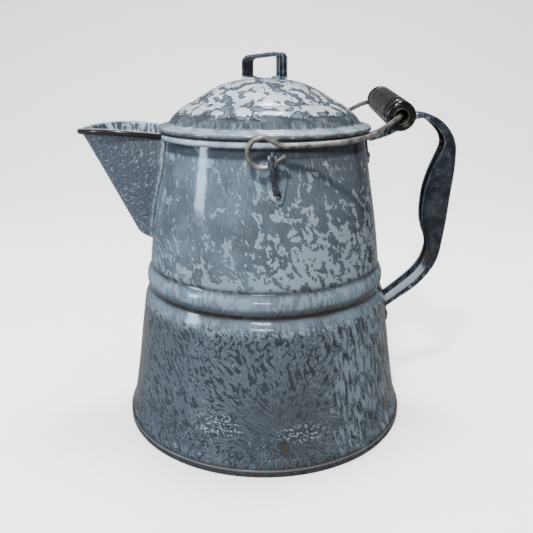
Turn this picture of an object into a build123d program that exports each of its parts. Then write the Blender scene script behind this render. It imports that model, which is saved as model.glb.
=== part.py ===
from build123d import *
import math
import os

# Enamelled steel coffee boiler with a swinging bail, a lift-off lid, a V spout and a rear handle.
# Frame: origin at the centre of the base on the table, +Z up, spout towards -X, rear handle
# towards +X, bail hinge axis along Y. All sizes are in millimetres.

# --- Sheet metal -----------------------------------------------------------------------------
WALL = 1.2
LID_WALL = 1.1
PLATE = 1.4

# --- Body: outer radius and height of each break in the profile -------------------------------
CONE_TOP = [(79.9, 235.0), (83.7, 211.0), (88.1, 185.7), (92.3, 159.5), (95.0, 137.0)]
BEAD_TOP = (94.6, 134.5)
BEAD_CREST = (98.5, 125.5)
BEAD_FOOT = (97.2, 116.5)
SHOULDER_MID = (100.8, 106.5)
CONE_LOW = [(102.6, 97.0), (107.0, 67.0), (110.8, 41.0), (115.2, 16.0)]
FLARE_MID = (117.0, 12.0)
FOOT_R = 118.0
FOOT_TOP = 8.0

# --- Rim and base seam ------------------------------------------------------------------------
RIM_R = 80.8
RIM_Z = 237.0
RIM_ROLL = 2.6
RIM_WIRE = 1.4
SEAM_HEIGHT = 6.0
PAN_FLOOR = 3.6

# --- Strainer behind the spout ----------------------------------------------------------------
STRAINER_HOLE = 3.0
STRAINER_PITCH = 10.5
STRAINER_ROWS = 6
STRAINER_LOW = 176.0

# --- Spout: keel line, and two numbers that shape each level section --------------------------
KEEL_FOOT = (105.5, 158.4)
KEEL_TIP = (144.0, 236.4)
SPOUT_TOP = 241.0
SPOUT_LEVELS = [(152.2, 4.0, 0.8), (156.0, 6.5, 1.0), (168.0, 13.5, 2.5), (184.0, 24.0, 5.0),
                (200.0, 36.0, 9.5), (216.0, 50.0, 19.0), (230.0, 64.0, 36.0), (241.0, 76.0, 50.0)]
LIP_ROLL = 2.1
LIP_WIRE = 1.2
LIP_Z = 240.8

# --- Rear handle, in the plane Y = 0 ----------------------------------------------------------
GRIP_BACK = [(82.5, 236.0), (97.0, 243.0), (110.0, 250.0), (121.0, 254.2), (131.3, 252.0),
             (142.2, 245.8), (149.3, 238.0), (153.4, 226.0), (154.1, 212.5), (151.8, 179.4),
             (149.3, 151.9), (145.6, 130.7), (137.3, 116.2), (121.1, 101.5), (102.5, 86.0)]
GRIP_FRONT = [(81.0, 229.5), (90.0, 233.4), (101.0, 237.4), (112.0, 245.0), (121.1, 249.8),
              (131.8, 246.2), (138.7, 239.6), (142.3, 231.0), (140.9, 223.7), (136.2, 212.5),
              (131.6, 199.4), (129.2, 181.0), (130.2, 164.0), (134.5, 151.9), (135.8, 141.0),
              (132.8, 130.7), (120.1, 116.2), (100.5, 99.0)]
HANDLE_ENDS = 16.0
HANDLE_MIDDLE = 24.0
HANDLE_SHEET = 1.2
TAB_TOP = (214.0, 232.5)
TAB_LOW = (78.0, 96.0)

# --- Bail, ring and grip ----------------------------------------------------------------------
HINGE_X = -1.0
HINGE_Z = 233.3
RING_Y = 91.0
RING_R = 10.0
WIRE_R = 1.9
STUB_ANGLE = -58.0
STUB_LENGTH = 12.0
EXIT_ANGLE = 60.0
GRIP_X = 99.0
GRIP_Z = 257.5
GRIP_TILT = 5.0
GRIP_LENGTH = 95.0
GRIP_R = 10.9
LINER_R = 6.0
LINER_WALL = 0.8
# x, y, height without tilt, share of the grip's tilt, bend radius
BOW = [(50.0, 91.0, 239.8, 0.0, 25.0), (71.0, 80.5, 244.5, 0.3, 30.0),
       (86.0, 64.0, 252.5, 0.7, 30.0), (99.0, 44.5, 257.5, 1.0, 16.0)]
SHANK_DROP = 8.9
SHANK_BEND = 12.0

# --- Bail ears --------------------------------------------------------------------------------
LUG_X = 5.8
LUG_THICK = 1.6
LUG_TOP = 233.6
EYE_LOW = 222.2
EYE_HIGH = 231.5
EYE_WIDE = 4.8
SHIELD = [(1.6, 224.0), (1.5, 210.0), (4.5, 201.5), (10.0, 196.6), (14.0, 203.5),
          (15.8, 213.0), (15.5, 224.0)]

# --- Lid --------------------------------------------------------------------------------------
FLANGE_R = 84.3
FLANGE_ROLL = 2.25
LID_FOOT_Z = 240.0
LID_SKIRT = [(82.05, 244.5), (79.0, 245.2), (76.0, 246.2)]
LID_RISE = [(76.0, 246.2), (73.2, 249.8), (70.5, 252.6), (63.2, 258.4), (57.2, 261.2)]
LID_DOME = [(56.2, 262.0), (47.0, 267.6), (37.0, 273.0), (26.5, 276.6), (17.0, 278.4)]
LID_PEAK = 278.6
COLLAR_R = 77.0
COLLAR_LOW = 229.0

# --- Lid handle -------------------------------------------------------------------------------
STRAP_SPAN = 33.5
STRAP_WIDE = 14.5
STRAP_THICK = 2.0
STRAP_SEAT = 277.6
STRAP_TOP = 297.0
STRAP_CORNER = 4.5
STRAP_FOOT = 11.0
STRAP_RIVET = 10.0
STRAP_TURN = -32.0

# --- Rivets: shank radius, head radius, head height -------------------------------------------
RIVET = (1.6, 3.2, 1.3)


def xz(x, z, y=0.0):
    """A point from its place across the pot and its height."""
    return Vector(x, y, z)


def line_through(points, shift=(0.0, 0.0)):
    """A smooth curve through points of the upright section, moved by shift."""
    moved = [xz(x + shift[0], z + shift[1]) for x, z in points]
    return Spline(*moved) if len(moved) > 2 else Line(*moved)


def closed_face(edges):
    """The flat face inside a chain of edges."""
    return Face(Wire(edges))


def turned(edges):
    """The solid that a closed chain of edges sweeps about the pot's axis."""
    return revolve(closed_face(edges), Axis.Z, 360)


def ring(radius, height, section):
    """A round ring about the pot's axis."""
    return Pos(0, 0, height) * Torus(radius, section)


def body_line(shift=0.0):
    """The outer profile of the wall, from the rim down to the foot."""
    move = (shift, 0.0)

    def at(point):
        return xz(point[0] + shift, point[1])

    return [
        line_through(CONE_TOP, move),
        Line(at(CONE_TOP[-1]), at(BEAD_TOP)),
        ThreePointArc(at(BEAD_TOP), at(BEAD_CREST), at(BEAD_FOOT)),
        ThreePointArc(at(BEAD_FOOT), at(SHOULDER_MID), at(CONE_LOW[0])),
        line_through(CONE_LOW, move),
        ThreePointArc(at(CONE_LOW[-1]), at(FLARE_MID), at((FOOT_R, FOOT_TOP))),
        Line(at((FOOT_R, FOOT_TOP)), at((FOOT_R, WALL))),
    ]


def pot_solid(grow=0.0):
    """Everything inside the outer profile, grown outwards."""
    top, foot = CONE_TOP[0], (FOOT_R, WALL)
    closing = [
        Line(xz(foot[0] + grow, foot[1]), xz(0, foot[1])),
        Line(xz(0, foot[1]), xz(0, top[1])),
        Line(xz(0, top[1]), xz(top[0] + grow, top[1])),
    ]
    return turned(body_line(grow) + closing)


def radius_at(height):
    """Outer radius of the upper wall at a height."""
    for (r_high, z_high), (r_low, z_low) in zip(CONE_TOP, CONE_TOP[1:]):
        if height >= z_low:
            return r_low + (height - z_low) * (r_high - r_low) / (z_high - z_low)
    return CONE_TOP[-1][0]


def keel_at(height):
    """Distance of the spout's front edge from the axis at a height."""
    slope = (KEEL_TIP[0] - KEEL_FOOT[0]) / (KEEL_TIP[1] - KEEL_FOOT[1])
    straight = KEEL_FOOT[0] + (height - KEEL_FOOT[1]) * slope
    tucked = max(0.0, KEEL_FOOT[1] - height)
    return straight - 0.15 * tucked ** 2


def spout_points(height, spread, pinch, grow=0.0):
    """One flank of a level section, from the keel back into the wall."""
    keel = keel_at(height) + grow
    half = spread - pinch
    root = math.sqrt(radius_at(height) ** 2 - half ** 2) - 3.0
    points = []
    for share in (0.0, 0.03, 0.1, 0.22, 0.4, 0.62, 0.82, 1.0):
        side = math.sqrt(share) * (spread - pinch * share)
        points.append((-keel + share * (keel - root), max(0.0, side + grow * min(1.0, 6 * share))))
    return points


def spout_face(height, spread, pinch, grow=0.0):
    """The full level section of the spout at a height."""
    flank = spout_points(height, spread, pinch, grow)
    near = [Vector(x, -y, height) for x, y in reversed(flank)]
    far = [Vector(x, y, height) for x, y in flank[1:]]
    outline = Spline(*near, *far)
    return closed_face([outline, Line(far[-1], near[0])])


def offset_line(edge, distance, count=24):
    """A curve beside another, at a set distance in the upright plane."""
    points = []
    for step in range(count + 1):
        share = step / count
        along = edge.tangent_at(share)
        points.append(edge.position_at(share) + Vector(along.Z, 0, -along.X) * distance)
    return Spline(*points)


def rivet(place, grip, sizes=RIVET):
    """A rivet along local Z: the outer head sits at the origin, the shank goes down by grip."""
    shank, head, rise = sizes
    dome = head ** 2 / (2 * rise) + rise / 2
    outer = (Pos(0, 0, rise - dome) * Sphere(dome)) & (Pos(0, 0, rise / 2) * Cylinder(head, rise))
    inner = Pos(0, 0, -grip - rise / 4) * Cylinder(shank * 1.5, rise / 2)
    stem = Pos(0, 0, -grip / 2) * Cylinder(shank, grip)
    return place * (outer + stem + inner)


def shank_hole(place, grip, sizes=RIVET):
    """The hole that a rivet's shank fills."""
    return place * Pos(0, 0, -grip / 2) * Cylinder(sizes[0], grip + 4)


def radial(angle, radius, height, lean=0.0):
    """A place on the wall, with local Z pointing out of it."""
    return Rot(0, 0, angle) * Pos(radius, 0, height) * Rot(0, 90 - lean, 0)


# ---------------------------------------------------------------------------------------------
# Body, bottom and rim
# ---------------------------------------------------------------------------------------------

def make_body():
    """Wall with its bead, rolled rim and strainer holes."""
    top, foot = CONE_TOP[0], (FOOT_R, WALL)
    ends = [
        Line(xz(*foot), xz(foot[0] - WALL, foot[1])),
        Line(xz(top[0] - WALL, top[1]), xz(*top)),
    ]
    shell = turned(body_line() + body_line(-WALL) + ends)
    shell += ring(RIM_R, RIM_Z, RIM_ROLL)
    shell -= ring(RIM_R, RIM_Z, RIM_WIRE)
    for hole in strainer_holes():
        shell -= hole
    return shell


def strainer_holes():
    """Drills for the triangular field of holes behind the spout."""
    drills = []
    rise = STRAINER_PITCH * math.sin(math.radians(60))
    for row in range(STRAINER_ROWS):
        height = STRAINER_LOW + row * rise
        radius = radius_at(height)
        count = min(2 + row, 5 - row % 2)
        step = math.degrees(STRAINER_PITCH / radius)
        for index in range(count):
            angle = 180 + (index - (count - 1) / 2) * step
            drills.append(radial(angle, radius, height) * Cylinder(STRAINER_HOLE, 10))
    return drills


def make_bottom():
    """Recessed floor whose edge is folded up round the foot of the wall."""
    outer = FOOT_R + WALL
    inner = FOOT_R - 2 * WALL
    floor_top = PAN_FLOOR + WALL
    outline = Polyline(
        xz(0, PAN_FLOOR), xz(inner, PAN_FLOOR), xz(inner, 0), xz(outer, 0), xz(outer, SEAM_HEIGHT),
        xz(FOOT_R, SEAM_HEIGHT), xz(FOOT_R, WALL), xz(FOOT_R - WALL, WALL),
        xz(FOOT_R - WALL, floor_top), xz(0, floor_top), close=True)
    pan = turned(outline.edges())
    rings = pan.edges().filter_by(GeomType.CIRCLE)
    return fillet([rim for rim in rings if abs(rim.radius - outer) < 0.01], 0.5)


# ---------------------------------------------------------------------------------------------
# Spout
# ---------------------------------------------------------------------------------------------

def lip_path():
    """Centre line of the rolled lip."""
    height, spread, pinch = SPOUT_LEVELS[-1]
    flank = spout_points(height, spread, pinch, LIP_ROLL * 0.9)
    near = [Vector(x, -y, LIP_Z) for x, y in reversed(flank)]
    far = [Vector(x, y, LIP_Z) for x, y in flank[1:]]
    return Spline(*near, *far)


def lip_tube(radius):
    """A round bar along the lip."""
    path = lip_path()
    return sweep(Plane(path @ 0, z_dir=path % 0) * Circle(radius), path=path)


def make_spout(pot):
    """Folded V of sheet with an outward rolled lip; returns the shell and the wire in the lip."""
    outer = loft([spout_face(*level) for level in SPOUT_LEVELS])
    raised = SPOUT_LEVELS[1:-1] + [(SPOUT_TOP + 2.5, 79.0, 53.0)]
    inner = loft([spout_face(*level, grow=-WALL) for level in raised])
    roll = lip_tube(LIP_ROLL)
    wire = lip_tube(LIP_WIRE)
    keep_out = pot + ring(RIM_R, RIM_Z, RIM_ROLL)
    keep_out += Pos(0, 0, 251) * Cylinder(FLANGE_R + 0.7, 24)
    shell = (outer - inner) + roll - wire - keep_out
    return largest(shell), largest(wire - keep_out)


def largest(shape):
    """The biggest solid of a shape."""
    return max(shape.solids(), key=lambda solid: solid.volume)


# ---------------------------------------------------------------------------------------------
# Rear handle
# ---------------------------------------------------------------------------------------------

def width_prism(inset):
    """Limits the handle's width, which is narrow at both ends and wide along the grip."""
    ends = HANDLE_ENDS / 2 - inset
    middle = HANDLE_MIDDLE / 2 - inset
    right = [(ends, 70.0), (ends, 105.0), (middle, 140.0), (middle, 215.0), (ends, 243.0),
             (ends, 262.0)]
    corners = [Vector(70, y, z) for y, z in right] + [Vector(70, -y, z) for y, z in reversed(right)]
    return extrude(Face(Polyline(*corners, close=True).wire()), 95, dir=(1, 0, 0))


def make_handle(pot):
    """Sheet channel, open towards the pot, with a tab on the wall at each end."""
    back = line_through(GRIP_BACK)
    front = line_through(GRIP_FRONT)
    outline = closed_face([back, Line(back @ 1, front @ 1), front, Line(front @ 0, back @ 0)])
    web = offset_line(back, HANDLE_SHEET)
    mouth = offset_line(front, -2.5)
    hollow = closed_face([web, Line(web @ 1, mouth @ 1), mouth, Line(mouth @ 0, web @ 0)])
    channel = extrude(outline, HANDLE_MIDDLE, both=True) & width_prism(0)
    channel -= extrude(hollow, HANDLE_MIDDLE, both=True) & width_prism(HANDLE_SHEET)
    channel -= pot
    skin = pot_solid(PLATE) - pot
    for low, high in (TAB_TOP, TAB_LOW):
        tab = Pos(95, 0, (low + high) / 2) * Box(60, HANDLE_ENDS, high - low)
        channel += skin & tab
    channel -= ring(RIM_R, RIM_Z, RIM_ROLL)
    channel -= Pos(0, 0, 245) * Cylinder(FLANGE_R + 0.7, 15)
    return largest(channel)


# ---------------------------------------------------------------------------------------------
# Bail and its ears
# ---------------------------------------------------------------------------------------------

def tilted_height(y, height, share):
    """Height of a bow point on the side y, with its share of the grip's tilt."""
    return height + y * share * math.tan(math.radians(GRIP_TILT))


def ring_point(angle):
    """Place on a hinge ring, as x and z."""
    turn = math.radians(angle)
    return HINGE_X + RING_R * math.cos(turn), HINGE_Z + RING_R * math.sin(turn)


def bow_points(side):
    """Corners of the bail from a ring's exit to the grip, on one side."""
    exit_x, exit_z = ring_point(EXIT_ANGLE)
    lead = math.radians(EXIT_ANGLE - 90)
    corners = [
        Vector(exit_x, side * RING_Y, exit_z),
        Vector(exit_x + SHANK_DROP * math.cos(lead), side * RING_Y, exit_z + SHANK_DROP * math.sin(lead)),
    ]
    for x, y, height, share, _ in BOW:
        corners.append(Vector(x, side * y, tilted_height(side * y, height, share)))
    return corners


def hinge_ring(side):
    """The loop of wire on one ear, with its free end."""
    plane = Plane.XZ.offset(-side * RING_Y)
    sweep_angle = STUB_ANGLE + 360 - EXIT_ANGLE
    loop = plane * CenterArc((HINGE_X, HINGE_Z), RING_R, EXIT_ANGLE, sweep_angle)
    foot_x, foot_z = ring_point(STUB_ANGLE)
    lead = math.radians(STUB_ANGLE + 90)
    start = Vector(foot_x, side * RING_Y, foot_z)
    tip = start + Vector(math.cos(lead), 0, math.sin(lead)) * STUB_LENGTH
    return [loop, Line(start, tip)]


def make_bail():
    """One wire: ring, shank, bow, and the same on the other side."""
    corners = bow_points(-1) + list(reversed(bow_points(1)))
    radii = [SHANK_BEND] + [row[4] for row in BOW]
    bow = FilletPolyline(*corners, radius=radii + radii[::-1])
    near = hinge_ring(-1)
    path = Wire(near + bow.edges() + hinge_ring(1))
    start = near[1] @ 1
    lead = near[1] % 1
    bail = sweep(Plane(start, z_dir=lead) * Circle(WIRE_R), path=path)
    print("bail length", round(path.length, 1), "mm, volume ratio",
          round(bail.volume / (path.length * math.pi * WIRE_R ** 2), 3))
    return bail


def grip_place():
    """Place of the grip, with local Z along its own axis."""
    return Pos(GRIP_X, 0, GRIP_Z) * Rot(-90 + GRIP_TILT, 0, 0)


def make_grip():
    """Turned grip with a groove near each end."""
    grip = Cylinder(GRIP_R, GRIP_LENGTH)
    grip = fillet(grip.edges(), 1.6)
    for side in (-1, 1):
        grip -= Pos(0, 0, side * (GRIP_LENGTH / 2 - 9)) * Torus(GRIP_R + 0.6, 1.2)
    grip -= Cylinder(LINER_R, GRIP_LENGTH + 2)
    return grip_place() * grip


def make_liner():
    """Thin tube that lines the bore of the grip."""
    tube = Cylinder(LINER_R, GRIP_LENGTH) - Cylinder(LINER_R - LINER_WALL, GRIP_LENGTH + 2)
    return grip_place() * tube


def make_ear(side, pot):
    """Shield plate on the wall with an upright lug that holds the ring."""
    outline = Face(Polyline(*[xz(x, z) for x, z in SHIELD], close=True).wire())
    reach = extrude(outline, 110, dir=(0, side, 0))
    plate = (pot_solid(PLATE) - pot) & reach
    profile = [(76.0, LUG_TOP), (95.5, LUG_TOP), (95.5, 221.0), (91.0, 213.0), (84.5, 200.0),
               (76.0, 200.0)]
    corners = [Vector(LUG_X - LUG_THICK / 2, side * y, z) for y, z in profile]
    lug = extrude(Face(Polyline(*corners, close=True).wire()), LUG_THICK, dir=(1, 0, 0))
    lug -= pot
    eye_centre = (EYE_LOW + EYE_HIGH) / 2
    lug -= Pos(LUG_X, side * RING_Y, eye_centre) * Box(LUG_THICK + 2, EYE_WIDE, EYE_HIGH - EYE_LOW)
    return largest(plate + lug)


# ---------------------------------------------------------------------------------------------
# Lid
# ---------------------------------------------------------------------------------------------

def lid_line(drop=0.0):
    """The lid's outer profile, from the flange to the middle, lowered by drop."""
    move = (-0.22 * drop, -drop)

    def at(point):
        return xz(point[0] + move[0], point[1] + move[1])

    return [
        line_through(LID_SKIRT, move),
        line_through(LID_RISE, move),
        Line(at(LID_RISE[-1]), at(LID_DOME[0])),
        line_through(LID_DOME, move),
        Line(at(LID_DOME[-1]), xz(0, LID_PEAK - drop)),
    ]


def make_lid():
    """Domed lid whose flange ends in a roll that rests on the rim."""
    edge = LID_SKIRT[0]
    ends = [
        Line(xz(0, LID_PEAK), xz(0, LID_PEAK - LID_WALL)),
        Line(xz(*edge), xz(edge[0] - 0.22 * LID_WALL, edge[1] - LID_WALL)),
    ]
    shell = turned(lid_line() + lid_line(LID_WALL) + ends)
    roll_r = FLANGE_R - FLANGE_ROLL
    roll_z = LID_FOOT_Z + FLANGE_ROLL
    shell += ring(roll_r, roll_z, FLANGE_ROLL) - ring(roll_r, roll_z, FLANGE_ROLL - LID_WALL)
    slit = Pos(0, 0, roll_z + 0.4) * (Cylinder(roll_r - 0.6, 0.8) - Cylinder(roll_r - 2.6, 0.8))
    return shell - slit


def make_collar(lid):
    """Upright ring under the lid that keeps it centred in the mouth."""
    height = 245.8 - COLLAR_LOW
    collar = Cylinder(COLLAR_R, height) - Cylinder(COLLAR_R - LID_WALL, height + 2)
    return largest(Pos(0, 0, COLLAR_LOW + height / 2) * collar - lid)


def make_lid_handle(lid):
    """Strap bent into a square loop, with both feet turned inwards."""
    height = STRAP_TOP - STRAP_SEAT
    middle = (STRAP_TOP + STRAP_SEAT) / 2
    outer = Pos(0, 0, middle) * Box(STRAP_SPAN, STRAP_WIDE, height)
    outer = fillet(outer.edges().filter_by(Axis.Y), STRAP_CORNER - 1.5)
    hollow = Box(STRAP_SPAN - 2 * STRAP_THICK, STRAP_WIDE + 2, height - 2 * STRAP_THICK)
    hollow = Pos(0, 0, middle) * fillet(hollow.edges().filter_by(Axis.Y), STRAP_CORNER - 2.5)
    gap = Pos(0, 0, STRAP_SEAT) * Box(STRAP_SPAN - 2 * STRAP_FOOT, STRAP_WIDE + 2, 3 * STRAP_THICK)
    strap = Rot(0, 0, STRAP_TURN) * (outer - hollow - gap)
    return strap - lid


# ---------------------------------------------------------------------------------------------
# Rivets
# ---------------------------------------------------------------------------------------------

def fit_rivet(parts, name, place, grip, plates):
    """Drill the plates for a rivet, then seat it against them."""
    for plate in plates:
        parts[plate] -= shank_hole(place, grip)
    blank = rivet(place, grip)
    for plate in plates:
        blank -= parts[plate]
    parts[name] = largest(blank)


def handle_rivets(parts):
    """Two rivets side by side through each tab of the rear handle."""
    for end, (low, high) in (("top", TAB_TOP), ("bottom", TAB_LOW)):
        height = low + 5.5 if end == "top" else (low + high) / 2 - 3.5
        radius = radius_at(height) if end == "top" else CONE_LOW[0][0] + (97 - height) * 0.147
        for side, word in ((-1, "near"), (1, "far")):
            angle = math.degrees(side * 4.3 / radius)
            place = radial(angle, radius + PLATE, height)
            fit_rivet(parts, f"handle_{end}_rivet_{word}", place, PLATE + WALL,
                      ("rear_handle", "body_shell"))


def ear_rivets(parts):
    """Two rivets through each ear, one on each side of the lug."""
    for side, word in ((-1, "near"), (1, "far")):
        for x, height, tag in ((11.6, 217.0, "upper"), (8.8, 203.5, "lower")):
            radius = radius_at(height)
            angle = side * math.degrees(math.acos(x / (radius + PLATE)))
            place = radial(angle, radius + PLATE, height)
            fit_rivet(parts, f"ear_{word}_rivet_{tag}", place, PLATE + WALL,
                      (f"bail_ear_{word}", "body_shell"))


def lid_rivets(parts):
    """One rivet through each foot of the lid handle."""
    foot_top = STRAP_SEAT + STRAP_THICK
    grip = foot_top - LID_PEAK + LID_WALL
    for side, word in ((-1, "left"), (1, "right")):
        place = Rot(0, 0, STRAP_TURN) * Pos(side * STRAP_RIVET, 0, foot_top)
        fit_rivet(parts, f"lid_handle_rivet_{word}", place, grip, ("lid_handle", "lid_shell"))


def make_parts():
    """Every piece of the boiler, by name."""
    pot = pot_solid()
    spout, lip_wire = make_spout(pot)
    lid = make_lid()
    parts = {
        "body_shell": make_body(),
        "bottom_pan": make_bottom(),
        "rim_wire": ring(RIM_R, RIM_Z, RIM_WIRE),
        "spout_shell": spout,
        "spout_lip_wire": lip_wire,
        "rear_handle": make_handle(pot),
        "bail_ear_near": make_ear(-1, pot),
        "bail_ear_far": make_ear(1, pot),
        "bail_wire": make_bail(),
        "bail_grip": make_grip(),
        "grip_liner": make_liner(),
        "lid_shell": lid,
        "lid_collar": make_collar(lid),
        "lid_handle": make_lid_handle(lid),
    }
    handle_rivets(parts)
    ear_rivets(parts)
    lid_rivets(parts)
    return parts


os.makedirs("parts", exist_ok=True)
for node, shape in make_parts().items():
    export_step(shape, f"parts/{node}.step")
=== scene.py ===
"""Enamelled coffee boiler: the looks of each piece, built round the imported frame."""

import functools
import math

import bpy
import bmesh
import numpy as np
from bpy.props import FloatProperty, FloatVectorProperty, IntProperty, PointerProperty
from mathutils import Matrix, Vector


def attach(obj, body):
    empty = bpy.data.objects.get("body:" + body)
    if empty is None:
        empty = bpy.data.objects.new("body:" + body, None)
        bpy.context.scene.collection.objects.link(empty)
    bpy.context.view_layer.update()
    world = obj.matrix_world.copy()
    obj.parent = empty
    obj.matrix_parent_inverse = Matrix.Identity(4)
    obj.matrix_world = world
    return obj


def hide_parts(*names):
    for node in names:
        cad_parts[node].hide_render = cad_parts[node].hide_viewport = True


bl_info = {
    "name": "Enamelled coffee boiler",
    "version": (1, 0, 0),
    "blender": (4, 5, 0),
    "location": "3D View > Sidebar > Boiler",
    "description": "Builds the pieces, finishes and studio of a mottled enamel coffee boiler",
    "category": "Object",
}

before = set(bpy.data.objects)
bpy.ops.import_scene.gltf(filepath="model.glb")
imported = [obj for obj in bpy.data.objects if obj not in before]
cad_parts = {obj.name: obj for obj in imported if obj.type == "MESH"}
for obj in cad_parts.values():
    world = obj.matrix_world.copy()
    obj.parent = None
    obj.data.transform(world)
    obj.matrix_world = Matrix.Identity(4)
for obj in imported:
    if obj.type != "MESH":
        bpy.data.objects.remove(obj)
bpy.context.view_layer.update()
MM = 0.001

# Outlines are in millimetres: distance from the axis and height above the table.
BODY_CONE = [(79.9, 234.6), (83.7, 211.0), (88.1, 185.7), (92.3, 159.5), (94.9, 138.0)]
BODY_BEAD = [(94.9, 138.0), (94.4, 135.6), (94.9, 133.9), (96.6, 131.2), (98.1, 128.0), (98.6, 124.5),
             (98.2, 120.5), (97.5, 118.0), (97.2, 116.4), (97.6, 114.9), (98.8, 112.2), (100.3, 109.0),
             (101.5, 104.5), (102.6, 97.0)]
BODY_LOW = [(102.6, 97.0), (107.0, 67.0), (110.8, 41.0), (114.6, 18.5), (115.9, 13.8), (117.4, 10.6),
            (118.0, 7.5), (118.0, 1.3)]
RIM_CENTRE = (80.8, 237.0)
RIM_ROLL = 2.6
SEAM_OUTLINE = [(0.0, 3.6), (115.6, 3.6), (115.6, 0.0), (119.2, 0.0), (119.2, 6.0), (118.1, 6.0),
                (118.1, 1.2), (116.8, 1.2), (116.8, 4.8), (0.0, 4.8)]
SEAM_RADII = [0.5, 0.6, 0.6, 0.45, 0.45, 0.1, 0.1, 0.5]
LID_DOME = [(0.0, 278.6), (9.0, 278.7), (17.0, 278.4), (26.5, 276.6), (37.0, 273.0), (47.0, 267.6),
            (55.6, 262.4)]
LID_CREASE = [(56.4, 261.7), (57.1, 261.25), (57.8, 261.1)]
LID_RISE = [(58.6, 260.8), (63.2, 258.4), (67.2, 255.6), (70.5, 252.6), (73.2, 249.8), (74.8, 247.6),
            (76.2, 246.3), (79.0, 245.2), (82.05, 244.5)]
LID_ROLL_CENTRE = (82.05, 242.25)
LID_ROLL = 2.25

# Strainer behind the spout: height of the lowest row, step between holes, and number of holes in each row.
STRAINER_FOOT = 176.0
STRAINER_PITCH = 10.5
STRAINER_ROWS = (2, 3, 4, 4, 5, 4)

# Lid strap: length, height of its feet and its top, half width, number of ribs as half waves over
# half the width, turn about the axis, and how far one end stands above the middle.
STRAP_SPAN = 31.5
STRAP_FOOT = 278.6
STRAP_TOP = 296.0
STRAP_HALF = 7.25
STRAP_RIBS = 2.6
STRAP_TURN = math.radians(-32.0)
STRAP_RISE = 1.4

# Spout: height, how wide a flank opens, and how far it draws in again at the wall.
SPOUT_LEVELS = [(150.4, 3.0, 0.6), (156.0, 6.5, 1.0), (168.0, 13.5, 2.5), (184.0, 24.0, 5.0),
                (200.0, 36.0, 9.5), (216.0, 50.0, 19.0), (230.0, 64.0, 36.0), (242.0, 76.0, 50.0)]

# Keel: distance from the axis and height, at its foot and its tip. The lip's top starts at LIP_TIP, falls by
# LIP_FALL on its way to the rim and rises by up to LIP_CROWN between them.
KEEL_FOOT = (105.5, 158.4)
KEEL_TIP = (142.8, 236.4)
LIP_TIP = 241.3
LIP_FALL = 1.6
LIP_CROWN = 3.2
WALL_TOP = 234.0
SPOUT_ROWS = 58
SPOUT_COLUMNS = 81

# Rear handle: outer edge x and z, inner edge x and z, half width, opening of the channel in degrees.
HANDLE_STATIONS = [
    (83.0, 237.4, 83.0, 231.4, 8.0, 82), (97.0, 243.0, 99.5, 236.8, 8.0, 82),
    (109.0, 249.8, 111.5, 244.0, 8.0, 80), (120.8, 254.2, 121.1, 249.2, 8.0, 78),
    (131.3, 252.0, 128.2, 248.2, 8.2, 76), (140.5, 247.2, 134.6, 243.4, 8.6, 74),
    (147.5, 240.3, 139.6, 238.0, 9.0, 70), (152.3, 231.5, 142.4, 231.4, 9.6, 62),
    (154.0, 221.0, 140.4, 222.6, 10.4, 46), (154.0, 208.0, 134.6, 209.0, 11.4, 30),
    (152.9, 194.0, 130.6, 194.6, 12.0, 24), (151.8, 179.4, 129.2, 180.0, 12.0, 22),
    (150.7, 164.0, 130.4, 163.4, 11.6, 20), (149.3, 151.9, 134.4, 152.0, 10.8, 18),
    (147.0, 136.0, 135.4, 141.4, 9.8, 30), (141.9, 123.5, 132.0, 130.4, 9.0, 44),
    (130.5, 108.9, 122.4, 118.2, 8.4, 52), (117.0, 98.3, 109.6, 107.0, 8.0, 54),
    (101.8, 86.6, 99.4, 98.0, 8.0, 54)]
HANDLE_ROWS = 110
HANDLE_COLUMNS = 28

# Tabs of the rear handle: height, left and right edge across the wall.
HANDLE_TABS = {
    "handle_tab_top": [(213.6, -4.0, 4.0), (214.6, -6.6, 6.6), (217.0, -8.0, 8.0), (226.0, -8.0, 8.0),
                       (233.6, -8.0, 8.0)],
    "handle_tab_low": [(77.4, -3.6, 3.6), (78.4, -6.4, 6.4), (80.6, -8.0, 8.0), (88.0, -8.0, 8.0),
                       (97.0, -8.0, 8.0)]}

# Bail: a ring round the hinge at each side, with a free stub at STUB_ANGLE and the bow at EXIT_ANGLE, in
# degrees. BOW is x, distance from the middle, height without tilt, share of the tilt, bend radius.
HINGE = (-1.0, 233.3)
RING_SIDE = 91.0
RING_RADIUS = 10.0
STUB_ANGLE = -58.0
STUB_STEPS = (3.0, 6.0, 9.0, 10.4, 11.0, 11.4, 11.7, 11.9, 12.0)
EXIT_ANGLE = 60.0
EXIT_LENGTH = 8.9
EXIT_RADIUS = 12.0
BOW = [(50.0, 91.0, 239.8, 0.0, 25.0), (71.0, 80.5, 244.5, 0.3, 30.0),
       (86.0, 64.0, 252.5, 0.7, 30.0), (99.0, 44.5, 257.5, 1.0, 16.0)]
GRIP_PLACE = (99.0, 0.0, 257.5)
GRIP_TILT = math.radians(5.0)

# Ear: height, left and right edge across the wall. The lug stands at LUG_ACROSS, and below LEAN_TOP it
# leans sideways and grows thicker over LEAN_HEIGHT. Its outline is reach from the wall and height.
EAR_ROWS = [(197.0, 9.4, 11.2), (198.6, 7.2, 12.6), (201.5, 4.6, 13.6), (206.0, 2.6, 14.6),
            (211.0, 1.7, 15.4), (216.0, 1.4, 15.6), (220.0, 1.8, 15.4), (223.6, 3.0, 14.2)]
LUG_ACROSS = 5.3
LUG_OUTLINE = [(14.6, 233.4), (15.2, 230.0), (15.0, 221.5), (12.6, 214.0), (8.6, 206.0), (4.4, 200.4)]
LUG_HALF = 1.4
LUG_SPREAD = 1.8
LEAN = 4.6
LEAN_TOP = 221.0
LEAN_HEIGHT = 22.0
EYE_HEIGHT = 226.85
EYE_HALF_WIDTH = 2.4
EYE_HALF_HEIGHT = 4.65

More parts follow.
